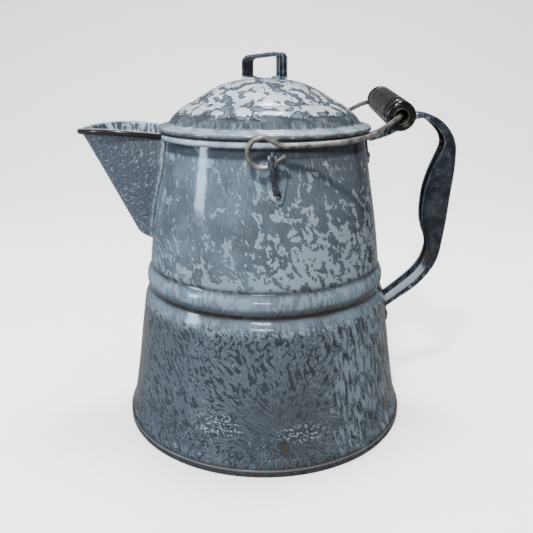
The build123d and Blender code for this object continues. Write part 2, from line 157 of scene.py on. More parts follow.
# Rivets: heights on the handle's tabs, distance across and height on an ear, and places on the lid.
HANDLE_RIVETS = {"top": 219.5, "bottom": 83.5}
HANDLE_RIVET_SIDE = 4.3
EAR_RIVETS = {"upper": (11.7, 217.0), "lower": (8.9, 203.5)}
LID_RIVET_REACH = 10.0
LID_RIVET_HEIGHT = 279.6

# Camera and lights, in metres and watts: name, place, width, height, power and tint of each light.
LENS = 41.41
SENSOR = 36.0
CAMERA_PLACE = (0.0016, -0.5, 0.287)
CAMERA_TILT = math.radians(90.0 - 17.97)
LIGHT_TARGET = Vector((0.0, 0.0, 0.14))
LIGHTS = (("window", (-1.17, -0.49, 0.47), 0.24, 0.46, 8.0, (0.58, 0.76, 1.0)),
          ("front", (-0.08, -1.6, 0.76), 0.5, 0.09, 5.0, (1.0, 1.0, 1.0)),
          ("key", (-0.25, -0.82, 1.21), 0.12, 0.12, 17.0, (1.0, 0.99, 0.97)),
          ("above", (0.1, 0.3, 1.5), 0.3, 0.3, 11.0, (0.86, 0.93, 1.0)),
          ("left_fill", (-1.3, -0.9, 1.0), 0.7, 0.7, 3.0, (0.88, 0.94, 1.0)),
          ("floor_light", (0.0, 0.6, 2.6), 4.0, 3.0, 210.0, (1.0, 1.0, 1.0)))


def linear(code):
    """A web colour as linear red, green and blue."""
    parts = [int(code[i:i + 2], 16) / 255 for i in (1, 3, 5)]
    return tuple(c / 12.92 if c <= 0.04045 else ((c + 0.055) / 1.055) ** 2.4 for c in parts)


# ---------------------------------------------------------------------------------------------
# Settings that a user would change
# ---------------------------------------------------------------------------------------------

def length(label, words, default):
    """A length setting in metres."""
    return FloatProperty(name=label, description=words, default=default, min=0.0, unit="LENGTH")


def colour(label, words, code):
    """A colour setting."""
    return FloatVectorProperty(name=label, description=words, default=linear(code), size=3,
                               subtype="COLOR", min=0.0, max=1.0)


class BoilerSizes(bpy.types.PropertyGroup):
    """Sizes of the sheet, the wire and the mesh."""

    wall: length("Wall", "Thickness of the enamelled sheet", 0.0012)
    lid_wall: length("Lid wall", "Thickness of the lid's sheet", 0.0011)
    plate: length("Plate", "Thickness of ears and tabs", 0.0014)
    wire: length("Wire", "Diameter of the bail wire", 0.0038)
    lip_roll: length("Lip roll", "Radius of the sheet's roll along the spout's lip", 0.0016)
    rivet: length("Rivet head", "Radius of a rivet's head", 0.0032)
    hole: length("Strainer hole", "Radius of each hole behind the spout", 0.003)
    segments: IntProperty(name="Segments", description="Steps round a turned piece", default=224, min=24)


class BoilerColours(bpy.types.PropertyGroup):
    """Colours of the enamel, the metal and the paint."""

    frost: colour("Frost", "The lid's palest glaze", "#E3EEF5")
    dusk: colour("Dusk slate", "The ground of the lower wall", "#41464C")
    chip: colour("Chip", "Bare brown steel in the chip by the seam", "#463F34")
    light: colour("Light mottle", "The palest flecks of the enamel", "#C3D0DA")
    pale: colour("Pale glaze", "Patches of pale glaze", "#93A6B5")
    mid: colour("Mid slate", "The lighter ground of the enamel", "#6E7F8D")
    slate: colour("Slate", "The darker ground of the enamel", "#5A626A")
    purple: colour("Purple slate", "The spout's slightly warmer ground", "#5C6270")
    deep: colour("Deep slate", "Shadowed enamel and the edges of mottles", "#343A41")
    dark: colour("Handle enamel", "The dark enamel of both handles", "#1B2127")
    rust: colour("Rust", "Bare steel that has rusted", "#4A2E19")
    umber: colour("Umber", "Brown glaze inside the handle", "#94856F")
    # Grime is brown dirt in the creases and along the lid's edge, and painted shade under the rolled edges
    # of lid and spout.
    grime_and_shade: colour("Grime", "Brown dirt in the creases", "#2A221D")
    # Tan is the tint of the painted warm reflection low on the body's sides.
    tan: colour("Tan", "Warm stain near the base", "#75593F")
    steel: colour("Wire", "Dull tinned wire", "#A8A5A0")
    old_steel: colour("Old wire", "Darker tinned wire", "#6E6A65")
    liner: colour("Grip tube", "Pale tube in the grip", "#6E675B")
    paint: colour("Grip paint", "Glossy black paint", "#060505")
    worn: colour("Worn wood", "Wood where the paint is gone", "#4B3720")
    old_wood: colour("Old wood", "Darker wood grain", "#2A2015")
    floor: colour("Floor", "The studio floor", "#F4F4F3")


# ---------------------------------------------------------------------------------------------
# Node trees
# ---------------------------------------------------------------------------------------------

class Num:
    """A number socket that takes part in Python sums by adding Math nodes."""

    def __init__(self, tree, socket):
        self.tree = tree
        self.socket = socket

    def math(self, operation, *others):
        """This number through a Math node."""
        node = self.tree.add("ShaderNodeMath", {"operation": operation}, dict(enumerate((self,) + others)))
        return Num(self.tree, node.outputs[0])

    def __add__(self, other):
        return self.math("ADD", other)

    def __sub__(self, other):
        return self.math("SUBTRACT", other)

    def __rsub__(self, other):
        return (self * -1.0) + other

    def __mul__(self, other):
        return self.math("MULTIPLY", other)

    def __truediv__(self, other):
        return self.math("DIVIDE", other)

    __radd__ = __add__
    __rmul__ = __mul__

    def step(self, low, high):
        """0 below low, 1 above high, smooth between; low may be the larger."""
        values = {"Value": self, "From Min": low, "From Max": high}
        if low > high:
            values = {"Value": self, "From Min": high, "From Max": low, "To Min": 1.0, "To Max": 0.0}
        return self.tree.num("MapRange", {"interpolation_type": "SMOOTHSTEP"}, values)

    def least(self, other):
        """The smaller of two numbers."""
        return self.math("MINIMUM", other)

    def most(self, other):
        """The larger of two numbers."""
        return self.math("MAXIMUM", other)


class Tree:
    """A node tree and the one way to add a node to it."""

    def __init__(self, nodes, links, prefix):
        self.nodes = nodes
        self.links = links
        self.prefix = prefix

    def add(self, kind, settings=None, values=None):
        """A node of a kind, its settings first, then its sockets' values or links."""
        whole = kind.startswith(("Node", "Function", "Shader"))
        node = self.nodes.new(kind if whole else self.prefix + kind)
        for key, setting in (settings or {}).items():
            setattr(node, key, setting)
        for key, value in (values or {}).items():
            self.feed(node.inputs[key], value)
        return node

    def feed(self, socket, value):
        """Links or sets one socket."""
        if isinstance(value, Num):
            self.links.new(value.socket, socket)
        elif isinstance(value, bpy.types.NodeSocket):
            self.links.new(value, socket)
        elif isinstance(value, tuple) and socket.type == "RGBA":
            socket.default_value = (*value[:3], 1.0)
        else:
            socket.default_value = value

    def num(self, kind, settings=None, values=None):
        """The first output of a new node, as a number."""
        return Num(self, self.add(kind, settings, values).outputs[0])


class Finish(Tree):
    """One procedural material."""

    def __init__(self, name):
        self.material = bpy.data.materials.new(name)
        self.material.use_nodes = True
        tree = self.material.node_tree
        tree.nodes.clear()
        super().__init__(tree.nodes, tree.links, "ShaderNode")
        place = self.add("TexCoord").outputs["Object"]
        scaled = self.add("VectorMath", {"operation": "SCALE"}, {0: place, "Scale": 1000.0}).outputs[0]
        split = self.add("SeparateXYZ", None, {0: scaled})
        self.place = scaled
        self.x, self.y, self.z = (Num(self, split.outputs[i]) for i in range(3))
        for name in BoilerColours.__annotations__:
            setattr(self, name, tuple(getattr(bpy.context.scene.boiler_colours, name)))
        self.shade = None

    def vector(self, x, y, z):
        """A vector from three numbers."""
        return self.add("CombineXYZ", None, {0: x, 1: y, 2: z}).outputs[0]

    def noise(self, vector, size=1.0, detail=2.0, rough=0.5, bend=0.0):
        """Smooth noise whose features are about size across."""
        values = {"Vector": vector, "Scale": 1.0 / size, "Detail": detail, "Roughness": rough,
                  "Distortion": bend}
        return self.num("TexNoise", {"noise_dimensions": "3D"}, values)

    def cloud(self, *values):
        """Noise at the place itself: size, detail, roughness and bend as in noise."""
        return self.noise(self.place, *values)

    def spots(self, size):
        """Distance to the nearest of scattered points."""
        return self.num("TexVoronoi", {"feature": "F1"}, {"Vector": self.place, "Scale": 1.0 / size})

    def mix(self, factor, low, high):
        """One colour turning into another."""
        return self.add("Mix", {"data_type": "RGBA"}, {"Factor": factor, 6: low, 7: high}).outputs[2]

    def coat(self, cover, shade):
        """Lays a colour over the shade so far."""
        self.shade = self.mix(cover, self.shade, shade)

    def bump(self, height, strength, distance):
        """A normal bent by a height field."""
        values = {"Height": height, "Strength": strength, "Distance": distance}
        return self.add("Bump", None, values).outputs[0]

    def ridge(self, value, middle, width):
        """1 where a value is at the middle, 0 further off than the width."""
        return (value - middle).math("ABSOLUTE").step(width, 0.0)

    def noted(self, name):
        """A number stored on the piece's points."""
        return Num(self, self.add("Attribute", {"attribute_name": name}).outputs["Fac"])

    def surface(self, rough, **others):
        """Joins the shader to the output; others name its sockets, with _ for a space."""
        values = {name.replace("_", " "): value for name, value in others.items()}
        shader = self.add("BsdfPrincipled", None, {"Base Color": self.shade, "Roughness": rough, **values})
        self.add("OutputMaterial", None, {0: shader.outputs[0]})
        return self.material


class GeometryTree(Tree):
    """One Geometry Nodes group with named inputs."""

    def __init__(self, name):
        self.group = bpy.data.node_groups.new(name, "GeometryNodeTree")
        super().__init__(self.group.nodes, self.group.links, "GeometryNode")
        self.group.interface.new_socket("Geometry", in_out="OUTPUT", socket_type="NodeSocketGeometry")
        self.group.interface.new_socket("Geometry", in_out="INPUT", socket_type="NodeSocketGeometry")
        self.entry = self.add("NodeGroupInput")

    def ask(self, name, kind, default):
        """A named input of the group."""
        item = self.group.interface.new_socket(name, in_out="INPUT", socket_type="NodeSocket" + kind)
        if default is not None:
            item.default_value = default
        return Num(self, self.entry.outputs[name])

    def finish(self, mesh):
        """Realizes, paints and outputs a mesh."""
        paint = self.ask("Material", "Material", None)
        smooth = self.add("SetShadeSmooth", None, {"Geometry": mesh})
        real = self.add("RealizeInstances", None, {"Geometry": smooth.outputs[0]})
        painted = self.add("SetMaterial", None, {"Geometry": real.outputs[0], "Material": paint})
        self.add("NodeGroupOutput", None, {0: painted.outputs[0]})
        return self.group


def turning_group():
    """Turns a profile, drawn across the X-Z plane, about the Z axis."""
    tree = GeometryTree("Turned sheet")
    steps = tree.ask("Segments", "Int", 64)
    profile = tree.entry.outputs["Geometry"]
    size = tree.add("AttributeDomainSize", None, {0: profile}).outputs[0]
    columns = steps + 1.0
    grid = tree.add("MeshGrid", None, {"Vertices X": columns, "Vertices Y": size}).outputs[0]
    index = Num(tree, tree.add("InputIndex").outputs[0])
    row_count = Num(tree, size)
    column = ((index + 0.5) / row_count).math("FLOOR")
    row = index - column * row_count
    place = tree.add("InputPosition").outputs[0]
    sample = tree.add("SampleIndex", {"data_type": "FLOAT_VECTOR"},
                      {"Geometry": profile, "Value": place, "Index": row}).outputs[0]
    split = tree.add("ShaderNodeSeparateXYZ", None, {0: sample})
    reach = Num(tree, split.outputs[0])
    angle = column / steps * math.tau
    join = tree.add("ShaderNodeCombineXYZ", None, {
        0: reach * angle.math("COSINE"), 1: reach * angle.math("SINE"), 2: split.outputs[2]})
    placed = tree.add("SetPosition", None, {"Geometry": grid, "Position": join.outputs[0]})
    welded = tree.add("MergeByDistance", None, {"Geometry": placed.outputs[0], "Distance": 0.000002})
    return tree.finish(welded.outputs[0])


def pipe_group():
    """Runs a round wire along a path and rounds both of its ends."""
    tree = GeometryTree("Round wire")
    radius = tree.ask("Radius", "Float", 0.002)
    sides = tree.ask("Sides", "Int", 16)
    path = tree.add("MeshToCurve", None, {0: tree.entry.outputs["Geometry"]}).outputs[0]
    total = Num(tree, tree.add("SplineLength").outputs[0])
    along = Num(tree, tree.add("SplineParameter").outputs["Length"])
    near = along.least(total - along)
    inset = (1.0 - (near / radius).least(1.0)).math("POWER", 2.0)
    swell = (1.02 - inset).math("SQRT")
    sized = tree.add("SetCurveRadius", None, {0: path, "Radius": swell}).outputs[0]
    ring = tree.add("CurvePrimitiveCircle", None, {"Resolution": sides, "Radius": radius}).outputs[0]
    tube = tree.add("CurveToMesh", None, {"Curve": sized, "Profile Curve": ring, "Fill Caps": True})
    return tree.finish(tube.outputs[0])


def studs_group():
    """Sets one flattened ball or upright drill on each point, facing away from the pot's axis."""
    tree = GeometryTree("Studs on points")
    radius = tree.ask("Radius", "Float", 0.003)
    height = tree.ask("Height", "Float", 0.0013)
    upright = tree.ask("Upright", "Float", 0.0)
    ball = tree.add("MeshUVSphere", None, {"Segments": 20, "Rings": 12, "Radius": 1.0}).outputs[0]
    scale = tree.add("ShaderNodeCombineXYZ", None, {0: radius, 1: radius, 2: height})
    place = tree.add("InputPosition").outputs[0]
    split = tree.add("ShaderNodeSeparateXYZ", None, {0: place})
    flat = 1.0 - upright
    away = tree.add("ShaderNodeCombineXYZ", None, {
        0: flat * split.outputs[0], 1: flat * split.outputs[1], 2: upright})
    turn = tree.add("FunctionNodeAlignRotationToVector", {"axis": "Z"}, {"Vector": away.outputs[0]})
    turn = turn.outputs[0]
    stud = tree.add("InstanceOnPoints", None, {
        "Points": tree.entry.outputs["Geometry"], "Instance": ball, "Rotation": turn,
        "Scale": scale.outputs[0]})
    return tree.finish(stud.outputs[0])


# ---------------------------------------------------------------------------------------------
# Curves and meshes
# ---------------------------------------------------------------------------------------------

def spline(points, count):
    """A smooth curve through points, as count points spaced evenly along it."""
    knots = np.array(points, float)
    chord = np.concatenate([[0.0], np.cumsum(np.linalg.norm(np.diff(knots, axis=0), axis=1))])
    gaps = np.diff(chord)
    total = len(knots)
    matrix = np.eye(total)
    right = np.zeros_like(knots)
    for i in range(1, total - 1):
        matrix[i, i - 1:i + 2] = gaps[i - 1], 2 * (gaps[i - 1] + gaps[i]), gaps[i]
        right[i] = 6 * ((knots[i + 1] - knots[i]) / gaps[i] - (knots[i] - knots[i - 1]) / gaps[i - 1])
    bends = np.linalg.solve(matrix, right)
    where = np.linspace(0.0, chord[-1], count)
    span = np.clip(np.searchsorted(chord, where, side="right") - 1, 0, total - 2)
    gap = gaps[span][:, None]
    after = (where - chord[span])[:, None]
    before = gap - after
    return (bends[span] * before ** 3 / (6 * gap) + bends[span + 1] * after ** 3 / (6 * gap)
            + (knots[span] / gap - bends[span] * gap / 6) * before
            + (knots[span + 1] / gap - bends[span + 1] * gap / 6) * after)


def arc(centre, radius, start, end, count):
    """Points on an arc, angles in degrees."""
    turns = np.radians(np.linspace(start, end, count))
    return np.column_stack([centre[0] + radius * np.cos(turns), centre[1] + radius * np.sin(turns)])


def filleted(points, radii, steps=8):
    """A path through corners with each inner corner rounded to its radius."""
    path = [Vector(points[0])]
    for before, corner, after, radius in zip(points, points[1:], points[2:], radii):
        corner = Vector(corner)
        back = (Vector(before) - corner).normalized()
        ahead = (Vector(after) - corner).normalized()
        half = back.angle(ahead) / 2
        reach = radius / math.tan(half)
        centre = corner + (back + ahead).normalized() * (radius / math.sin(half))
        first = corner + back * reach - centre
        last = corner + ahead * reach - centre
        whole = first.angle(last)
        for step in range(steps + 1):
            turn = whole * step / steps
            path.append(centre + (first * math.sin(whole - turn) + last * math.sin(turn)) / math.sin(whole))
    path.append(Vector(points[-1]))
    return path


def new_object(name, mesh):
    """An object at the origin that holds a mesh."""
    item = bpy.data.objects.new(name, mesh)
    bpy.context.scene.collection.objects.link(item)
    return item


def mesh_of(name, points, edges=(), faces=()):
    """An object from points in millimetres."""
    mesh = bpy.data.meshes.new(name)
    mesh.from_pydata([tuple(float(c) * MM for c in p) for p in points], list(edges), list(faces))
    mesh.update()
    return new_object(name, mesh)


def path_object(name, points):
    """A chain of edges through points in millimetres."""
    return mesh_of(name, points, [(i, i + 1) for i in range(len(points) - 1)])


def grown(source, group, inputs, maker):
    """Runs a Geometry Nodes group on an object and returns the plain mesh object."""
    modifier = source.modifiers.new("Nodes", "NODES")
    modifier.node_group = made(group)
    wanted = dict(inputs, Material=made(maker))
    for item in made(group).interface.items_tree:
        if item.in_out == "INPUT" and item.name in wanted:
            modifier[item.identifier] = wanted[item.name]
    return settled(source)


def settled(source):
    """Applies every modifier of an object and keeps only the plain mesh."""
    bpy.context.view_layer.update()
    graph = bpy.context.evaluated_depsgraph_get()
    mesh = bpy.data.meshes.new_from_object(source.evaluated_get(graph))
    name = source.name
    old = source.data
    bpy.data.objects.remove(source)
    if old.users == 0:
        bpy.data.meshes.remove(old)
    mesh.name = name
    return new_object(name, mesh)


def outward(item):
    """Points every face outwards."""
    work = bmesh.new()
    work.from_mesh(item.data)
    bmesh.ops.recalc_face_normals(work, faces=work.faces)
    work.to_mesh(item.data)
    work.free()
    return item


def turned(name, profile, maker, segments=None):
    """A turned piece from its profile in millimetres."""
    steps = segments or bpy.context.scene.boiler_sizes.segments
    source = path_object(name, [(r, 0.0, z) for r, z in profile])
    return outward(grown(source, turning_group, {"Segments": steps}, maker))


def rings_mesh(name, rings, closed=True):
    """A skin over rows of points: closed and capped rings, or open strips."""
    count = len(rings[0])
    points = [p for ring in rings for p in ring]
    faces = []
    for start in range(0, len(points) - count, count):
        for i in range(count if closed else count - 1):
            j = (i + 1) % count
            faces.append((start + i, start + j, start + count + j, start + count + i))
    if closed:
        faces.append(tuple(range(count)))
        faces.append(tuple(range(len(points) - count, len(points))))
    return outward(mesh_of(name, points, (), faces))


def facing(item, index, direction):
    """Turns every face round unless the numbered one looks along a direction."""
    if item.data.polygons[index].normal.dot(Vector(direction)) < 0.0:
        item.data.flip_normals()


def note(item, name, values):
    """Stores one number on each point of a piece."""
    item.data.attributes.new(name, "FLOAT", "POINT").data.foreach_set("value", values)


def thicken(item, depth, offset, bevel=0.0):
    """Gives a sheet its thickness, rounded edges if asked, and its second finish inside if it has one."""
    solid = item.modifiers.new("Sheet", "SOLIDIFY")
    solid.thickness = depth
    solid.offset = offset
    solid.use_even_offset = True
    solid.material_offset = len(item.data.materials) - 1 if item.data.materials else 0
    if bevel:
        edge = item.modifiers.new("Edge", "BEVEL")
        edge.width = bevel
        edge.segments = 3
        edge.limit_method = "ANGLE"
        edge.angle_limit = math.radians(40)
    return settled(item)


def cut(item, cutter):
    """Takes the cutter's shape out of a piece."""
    hole = item.modifiers.new("Cut", "BOOLEAN")
    hole.object = cutter
    hole.solver = "EXACT"
    item = settled(item)
    bpy.data.objects.remove(cutter)
    return item


def smooth_all(item):
    """Smooth shading on every face."""
    item.data.polygons.foreach_set("use_smooth", [True] * len(item.data.polygons))
    item.data.update()
    return item


def smooth_by_angle(item, degrees=38.0):
    """Smooth shading with sharp edges kept where faces meet at a steep angle."""
    smooth_all(item)
    work = bmesh.new()
    work.from_mesh(item.data)
    for edge in work.edges:
        if len(edge.link_faces) == 2 and edge.calc_face_angle(0.0) > math.radians(degrees):
            edge.smooth = False
    work.to_mesh(item.data)
    work.free()
    return item


def paint(item, *makers):
    """Puts finishes on a piece: the second one is for the inside of a sheet."""
    item.data.materials.clear()
    for maker in makers:
        item.data.materials.append(made(maker))
    return item


def mount(item, body, slot, *nodes):
    """Makes a piece ride on a body and stand for CAD nodes; the slot is not used."""
    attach(item, body)
    if nodes:
        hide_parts(*nodes)
    return item


@functools.cache
def made(maker):
    """What a maker of a finish or of a node group gives, made once."""
    return maker()


# ---------------------------------------------------------------------------------------------
# Finishes
# ---------------------------------------------------------------------------------------------

class Enamel(Finish):
    """Mottled enamel: helpers that follow the wall round and down."""

    def __init__(self, name):
        super().__init__(name)
        self.reach = (self.x * self.x + self.y * self.y + 0.01).math("SQRT")
        self.u = (self.x / self.reach).math("ARCSINE") * 100.0

    def flow(self, wide, long, lean=0.0, detail=2.0, shift=0.0, bend=0.0):
        """Noise drawn out along a direction that leans from the vertical."""
        across = self.u + self.z * lean if lean else self.u
        vector = self.vector(across / wide, self.z / long, self.y / 28.0 + shift)
        return self.noise(vector, 1.0, detail, 0.5, bend)

    def burst(self, u, z, count, long, bend=0.35):
        """Noise drawn out along rays from one place on the wall, and the distance from it."""
        stray = self.noise(self.place, 26.0, 2.0) * 20.0 - 10.0
        across = self.u - u + stray
        up = self.z - z - stray * 0.7
        reach = (across * across + up * up + 1.0).math("SQRT")
        vector = self.vector(across / reach * count, up / reach * count, reach / long + self.y / 28.0)
        return self.noise(vector, 1.0, 1.4, 0.5, bend), reach

    def blob(self, u, z, wide, high):
        """1 in the middle of an oval on the front of the wall, 0 outside it."""
        across = (self.u - u) / wide
        up = (self.z - z) / high
        return (across * across + up * up).math("SQRT").step(1.0, 0.45) * self.y.step(20.0, -10.0)


def body_enamel():
    """Slate wall with pale patches above, feathered rays below and drips on the bead."""
    m = Enamel("enamel_body")
    warp = m.cloud(14.0, 2.0)
    tone = m.cloud(30.0, 2.0)
    fine = m.cloud(1.1, 2.0)
    z = m.z + (warp - 0.5) * 22.0
    m.shade = m.mix(tone.step(0.35, 0.65), m.slate, m.mid)

    # Upper wall: fine upright dashes, then patches with round islands low on the right.
    upper = m.z.step(133.0, 136.0)
    right = (m.u + (warp - 0.5) * 60.0).step(-35.0, 30.0).most(m.y.step(-10.0, 30.0))
    dashes = m.flow(1.5, 6.5, 0.16, 2.0, 3.0)
    high = (m.z + (warp - 0.5) * 16.0).step(206.0, 216.0)
    strong = (right * 0.45 + 0.15) * high + z.step(160.0, 190.0) * 0.12 + 0.06
    m.coat(dashes.step(0.57, 0.67) * strong * upper, m.light)
    m.coat(right * 0.45 * upper, m.slate)
    m.coat(right * 0.25 * upper * z.step(210.0, 180.0), m.dusk)
    low_dash = m.flow(1.7, 5.0, 0.1, 2.0, 9.0)
    m.coat(low_dash.step(0.44, 0.36) * 0.22 * upper, m.deep)
    cover = right * z.step(214.0, 176.0) * 0.11 + z.step(166.0, 144.0) * 0.09
    blotch = m.flow(9.0, 11.0, 0.35, 2.6, 5.0, 0.45)
    patch = blotch + cover - 0.045
    inside = patch.step(0.545, 0.562) * upper
    islands = m.flow(4.8, 5.6, 0.1, 0.6, 7.0)
    inside = inside * islands.step(0.575, 0.56)
    m.coat(inside * 0.85, m.mix(right * upper * 0.3, m.pale, m.light))
    edge = m.ridge(patch, 0.562, 0.022) * islands.step(0.62, 0.59) * upper
    m.coat(edge * 0.45, m.light)
    dots = m.spots(4.2)
    dotted = dots.step(0.34, 0.28) * m.cloud(9.0, 1.0).step(0.48, 0.52)
    m.coat(dotted * inside * 0.85, m.slate)
    flecks = m.flow(2.2, 2.8, 0.2, 2.0, 11.0).step(0.62, 0.67)
    specks = flecks * (1.0 - inside) * z.step(188.0, 165.0)
    m.coat(specks * upper * 0.6, m.light)

    # Lower wall: rays from two places, upright streaks to the right, drips over the seam.
    lower = (m.z + (fine - 0.5) * 8.0).step(112.0, 103.0)
    rays, far = m.burst(14.0, 30.0, 22.0, 5.5, 0.7)
    other = m.flow(2.6, 5.6, 0.6, 1.8, 2.0, 0.7)
    streaks = m.flow(3.0, 11.0, 0.12, 1.6, 1.0, 0.5)
    behind = m.y.step(-5.0, 25.0)
    side = (m.u + (warp - 0.5) * 50.0).step(18.0, 72.0).most(behind)
    left = (m.u + (warp - 0.5) * 60.0).step(-38.0, -58.0) * (1.0 - behind)
    feather = rays * (1.0 - side) * (1.0 - left) + streaks * side + other * left
    low_left = z.step(92.0, 30.0)
    feather = feather + side * (1.0 - behind) * 0.07
    under = m.mix(feather.step(0.42, 0.49), m.deep, m.dusk)
    under = m.mix(feather.step(0.51, 0.58) * 0.8, under, m.slate)
    under = m.mix(m.ridge(feather, 0.50, 0.035) * (low_left * 0.15 + 0.45), under, m.pale)
    under = m.mix(m.ridge(feather, 0.60, 0.03) * 0.3, under, m.pale)
    centre = far.step(60.0, 18.0) * (1.0 - behind)
    under = m.mix(centre * 0.55, under, m.dusk)
    under = m.mix(feather.step(0.57, 0.64) * side * 0.75, under, m.pale)
    net = m.noise(m.vector(m.u / 4.4, m.z / 6.5, m.y / 28.0 + 4.0), 1.0, 2.0, 0.5, 0.5)
    netted = z.step(40.0, 26.0) * m.cloud(24.0, 1.0).step(0.42, 0.54)
    lacy = m.mix(net.step(0.47, 0.49), m.deep, m.dusk)
    lacy = m.mix(m.ridge(net, 0.50, 0.02), lacy, m.pale)
    under = m.mix(netted * 0.6, under, lacy)
    white = m.flow(1.8, 1.7, 0.6, 2.0, 15.0).step(0.55, 0.60)
    sprinkled = m.blob(-32.0, 36.0, 24.0, 12.0).most(m.blob(26.0, 31.0, 22.0, 10.0))
    under = m.mix(sprinkled * 0.5, under, m.deep)
    under = m.mix(white * sprinkled * 0.6, under, m.light)
    under = m.mix(left * 0.25, under, m.dusk)
    m.coat(lower, under)

    # Bead and shoulder: pale glaze running down in fingers, brown creases, painted shade on the bead's lower
    # half.
    runs = m.flow(2.6, 60.0, 0.0, 2.0, 6.0)
    crest = (m.z + (runs - 0.5) * 14.0).step(121.0, 125.0) * (m.z + (runs - 0.5) * 6.0).step(134.0, 131.0)
    crest = crest * (m.flow(3.4, 9.0, 0.0, 3.5, 8.0).step(0.44, 0.56) * 0.65 + 0.35)
    m.coat(crest * (fine.step(0.3, 0.55) * 0.3 + 0.6), m.pale)
    collar = (m.z + (runs - 0.5) * 26.0).step(106.0, 111.0) * m.z.step(115.0, 112.0)
    collar = collar * (m.flow(3.0, 8.0, 0.2, 3.5, 12.0).step(0.42, 0.58) * 0.8 + 0.2)
    m.coat(collar * 0.5, m.pale)
    ticks = m.flow(1.3, 3.2, 0.6, 2.5, 2.0).step(0.53, 0.60) * m.ridge(m.z, 106.5, 6.0)
    m.coat(ticks * 0.55, m.light)
    # Painted shade on the lower half of the bead, broken up by the runs.
    m.coat(m.ridge(m.z, 121.0, 4.5) * (runs.step(0.4, 0.55) * 0.3 + 0.35), m.deep)
    crease = m.ridge(m.z, 135.2, 2.6).most((m.ridge(m.z, 117.4, 3.6) * 1.5).most(0.0))
    stained = m.cloud(6.0, 2.0).step(0.25, 0.6)
    m.coat(crease * (stained * 0.2 + 0.6), m.grime_and_shade)

    # Rim and foot with their wear, painted shade under the rim's roll, a painted highlight on the seam.
    rim = m.z.step(233.6, 235.4)
    # Painted shadow: a dark band on the wall under the overhang of the rim's roll.
    m.coat((m.ridge(m.z, 230.4, 5.4) * 1.6).least(0.85), m.deep)
    m.coat(rim * 0.85, m.mix(tone.step(0.4, 0.6), m.light, m.frost))
    m.coat(rim * blotch.step(0.55, 0.6) * 0.4, m.mid)
    # Painted shade on the top of the rim's roll, under the lid's flange.
    m.coat(m.z.step(238.0, 239.2) * 0.8, m.deep)
    # Painted shade: a dark line on the wall just under the roll.
    m.coat(m.ridge(m.z, 233.4, 1.4) * 0.7, m.deep)
    chipped = m.noise(m.vector(m.u / 3.0, m.z / 3.0, m.y / 3.0), 1.0, 3.0)
    worn = m.ridge(m.z, 234.6, 0.9) * chipped.step(0.42, 0.55)
    m.coat(worn * 0.8, m.rust)
    foot = m.z.step(8.0, 5.5)
    m.coat(foot * 0.7, m.deep)
    # Painted highlight: a pale line along the top edge of the base seam.
    m.coat(m.ridge(m.z, 5.3, 0.9) * 0.55, m.steel)
    lip = m.z.step(2.8, 1.0).most(m.ridge(m.z, 6.4, 0.7) * 0.8)
    m.coat(lip * chipped.step(0.36, 0.55), m.rust)
    m.coat(m.reach.step(114.8, 113.8) * m.z.step(6.0, 5.0) * 0.5, m.deep)

    # One rusted chip near the seam, and a painted warm reflection low on both sides.
    across = (m.u - 13.6) / 2.3 + (chipped - 0.5) * 0.7
    up = (m.z - 20.8) / 6.0
    chip = (across * across + up * up).math("SQRT") + m.y.step(0.0, 10.0) * 9.0
    m.coat(chip.step(1.15, 0.95), m.deep)
    m.coat(chip.step(0.86, 0.7) * m.z.step(24.6, 23.0), m.chip)
    # Painted reflection: a warm tint low on both sides of the wall.
    warm_reflection = m.ridge(m.u.math("ABSOLUTE"), 137.0, 30.0) * m.y.step(12.0, -18.0) * m.ridge(m.z, 68.0, 58.0)
    warm_reflection = warm_reflection * (m.cloud(9.0, 4.0, 0.6).step(0.38, 0.6) * 0.6 + 0.4)
    m.coat(warm_reflection * 0.8, m.tan)

    rust = chip.step(1.0, 0.8).most(worn * 0.8).most(lip * chipped.step(0.4, 0.55) * 0.8)
    rough = fine.step(0.2, 0.8) * 0.08 + 0.06 + rust * 0.4
    level = inside * 0.5 + feather * 0.9 * lower + fine * 0.12 + warp * 1.6 - chip.step(0.95, 0.8) * 2.0
    return m.surface(rough, IOR=1.52, Normal=m.bump(level, 0.25, 0.0005))


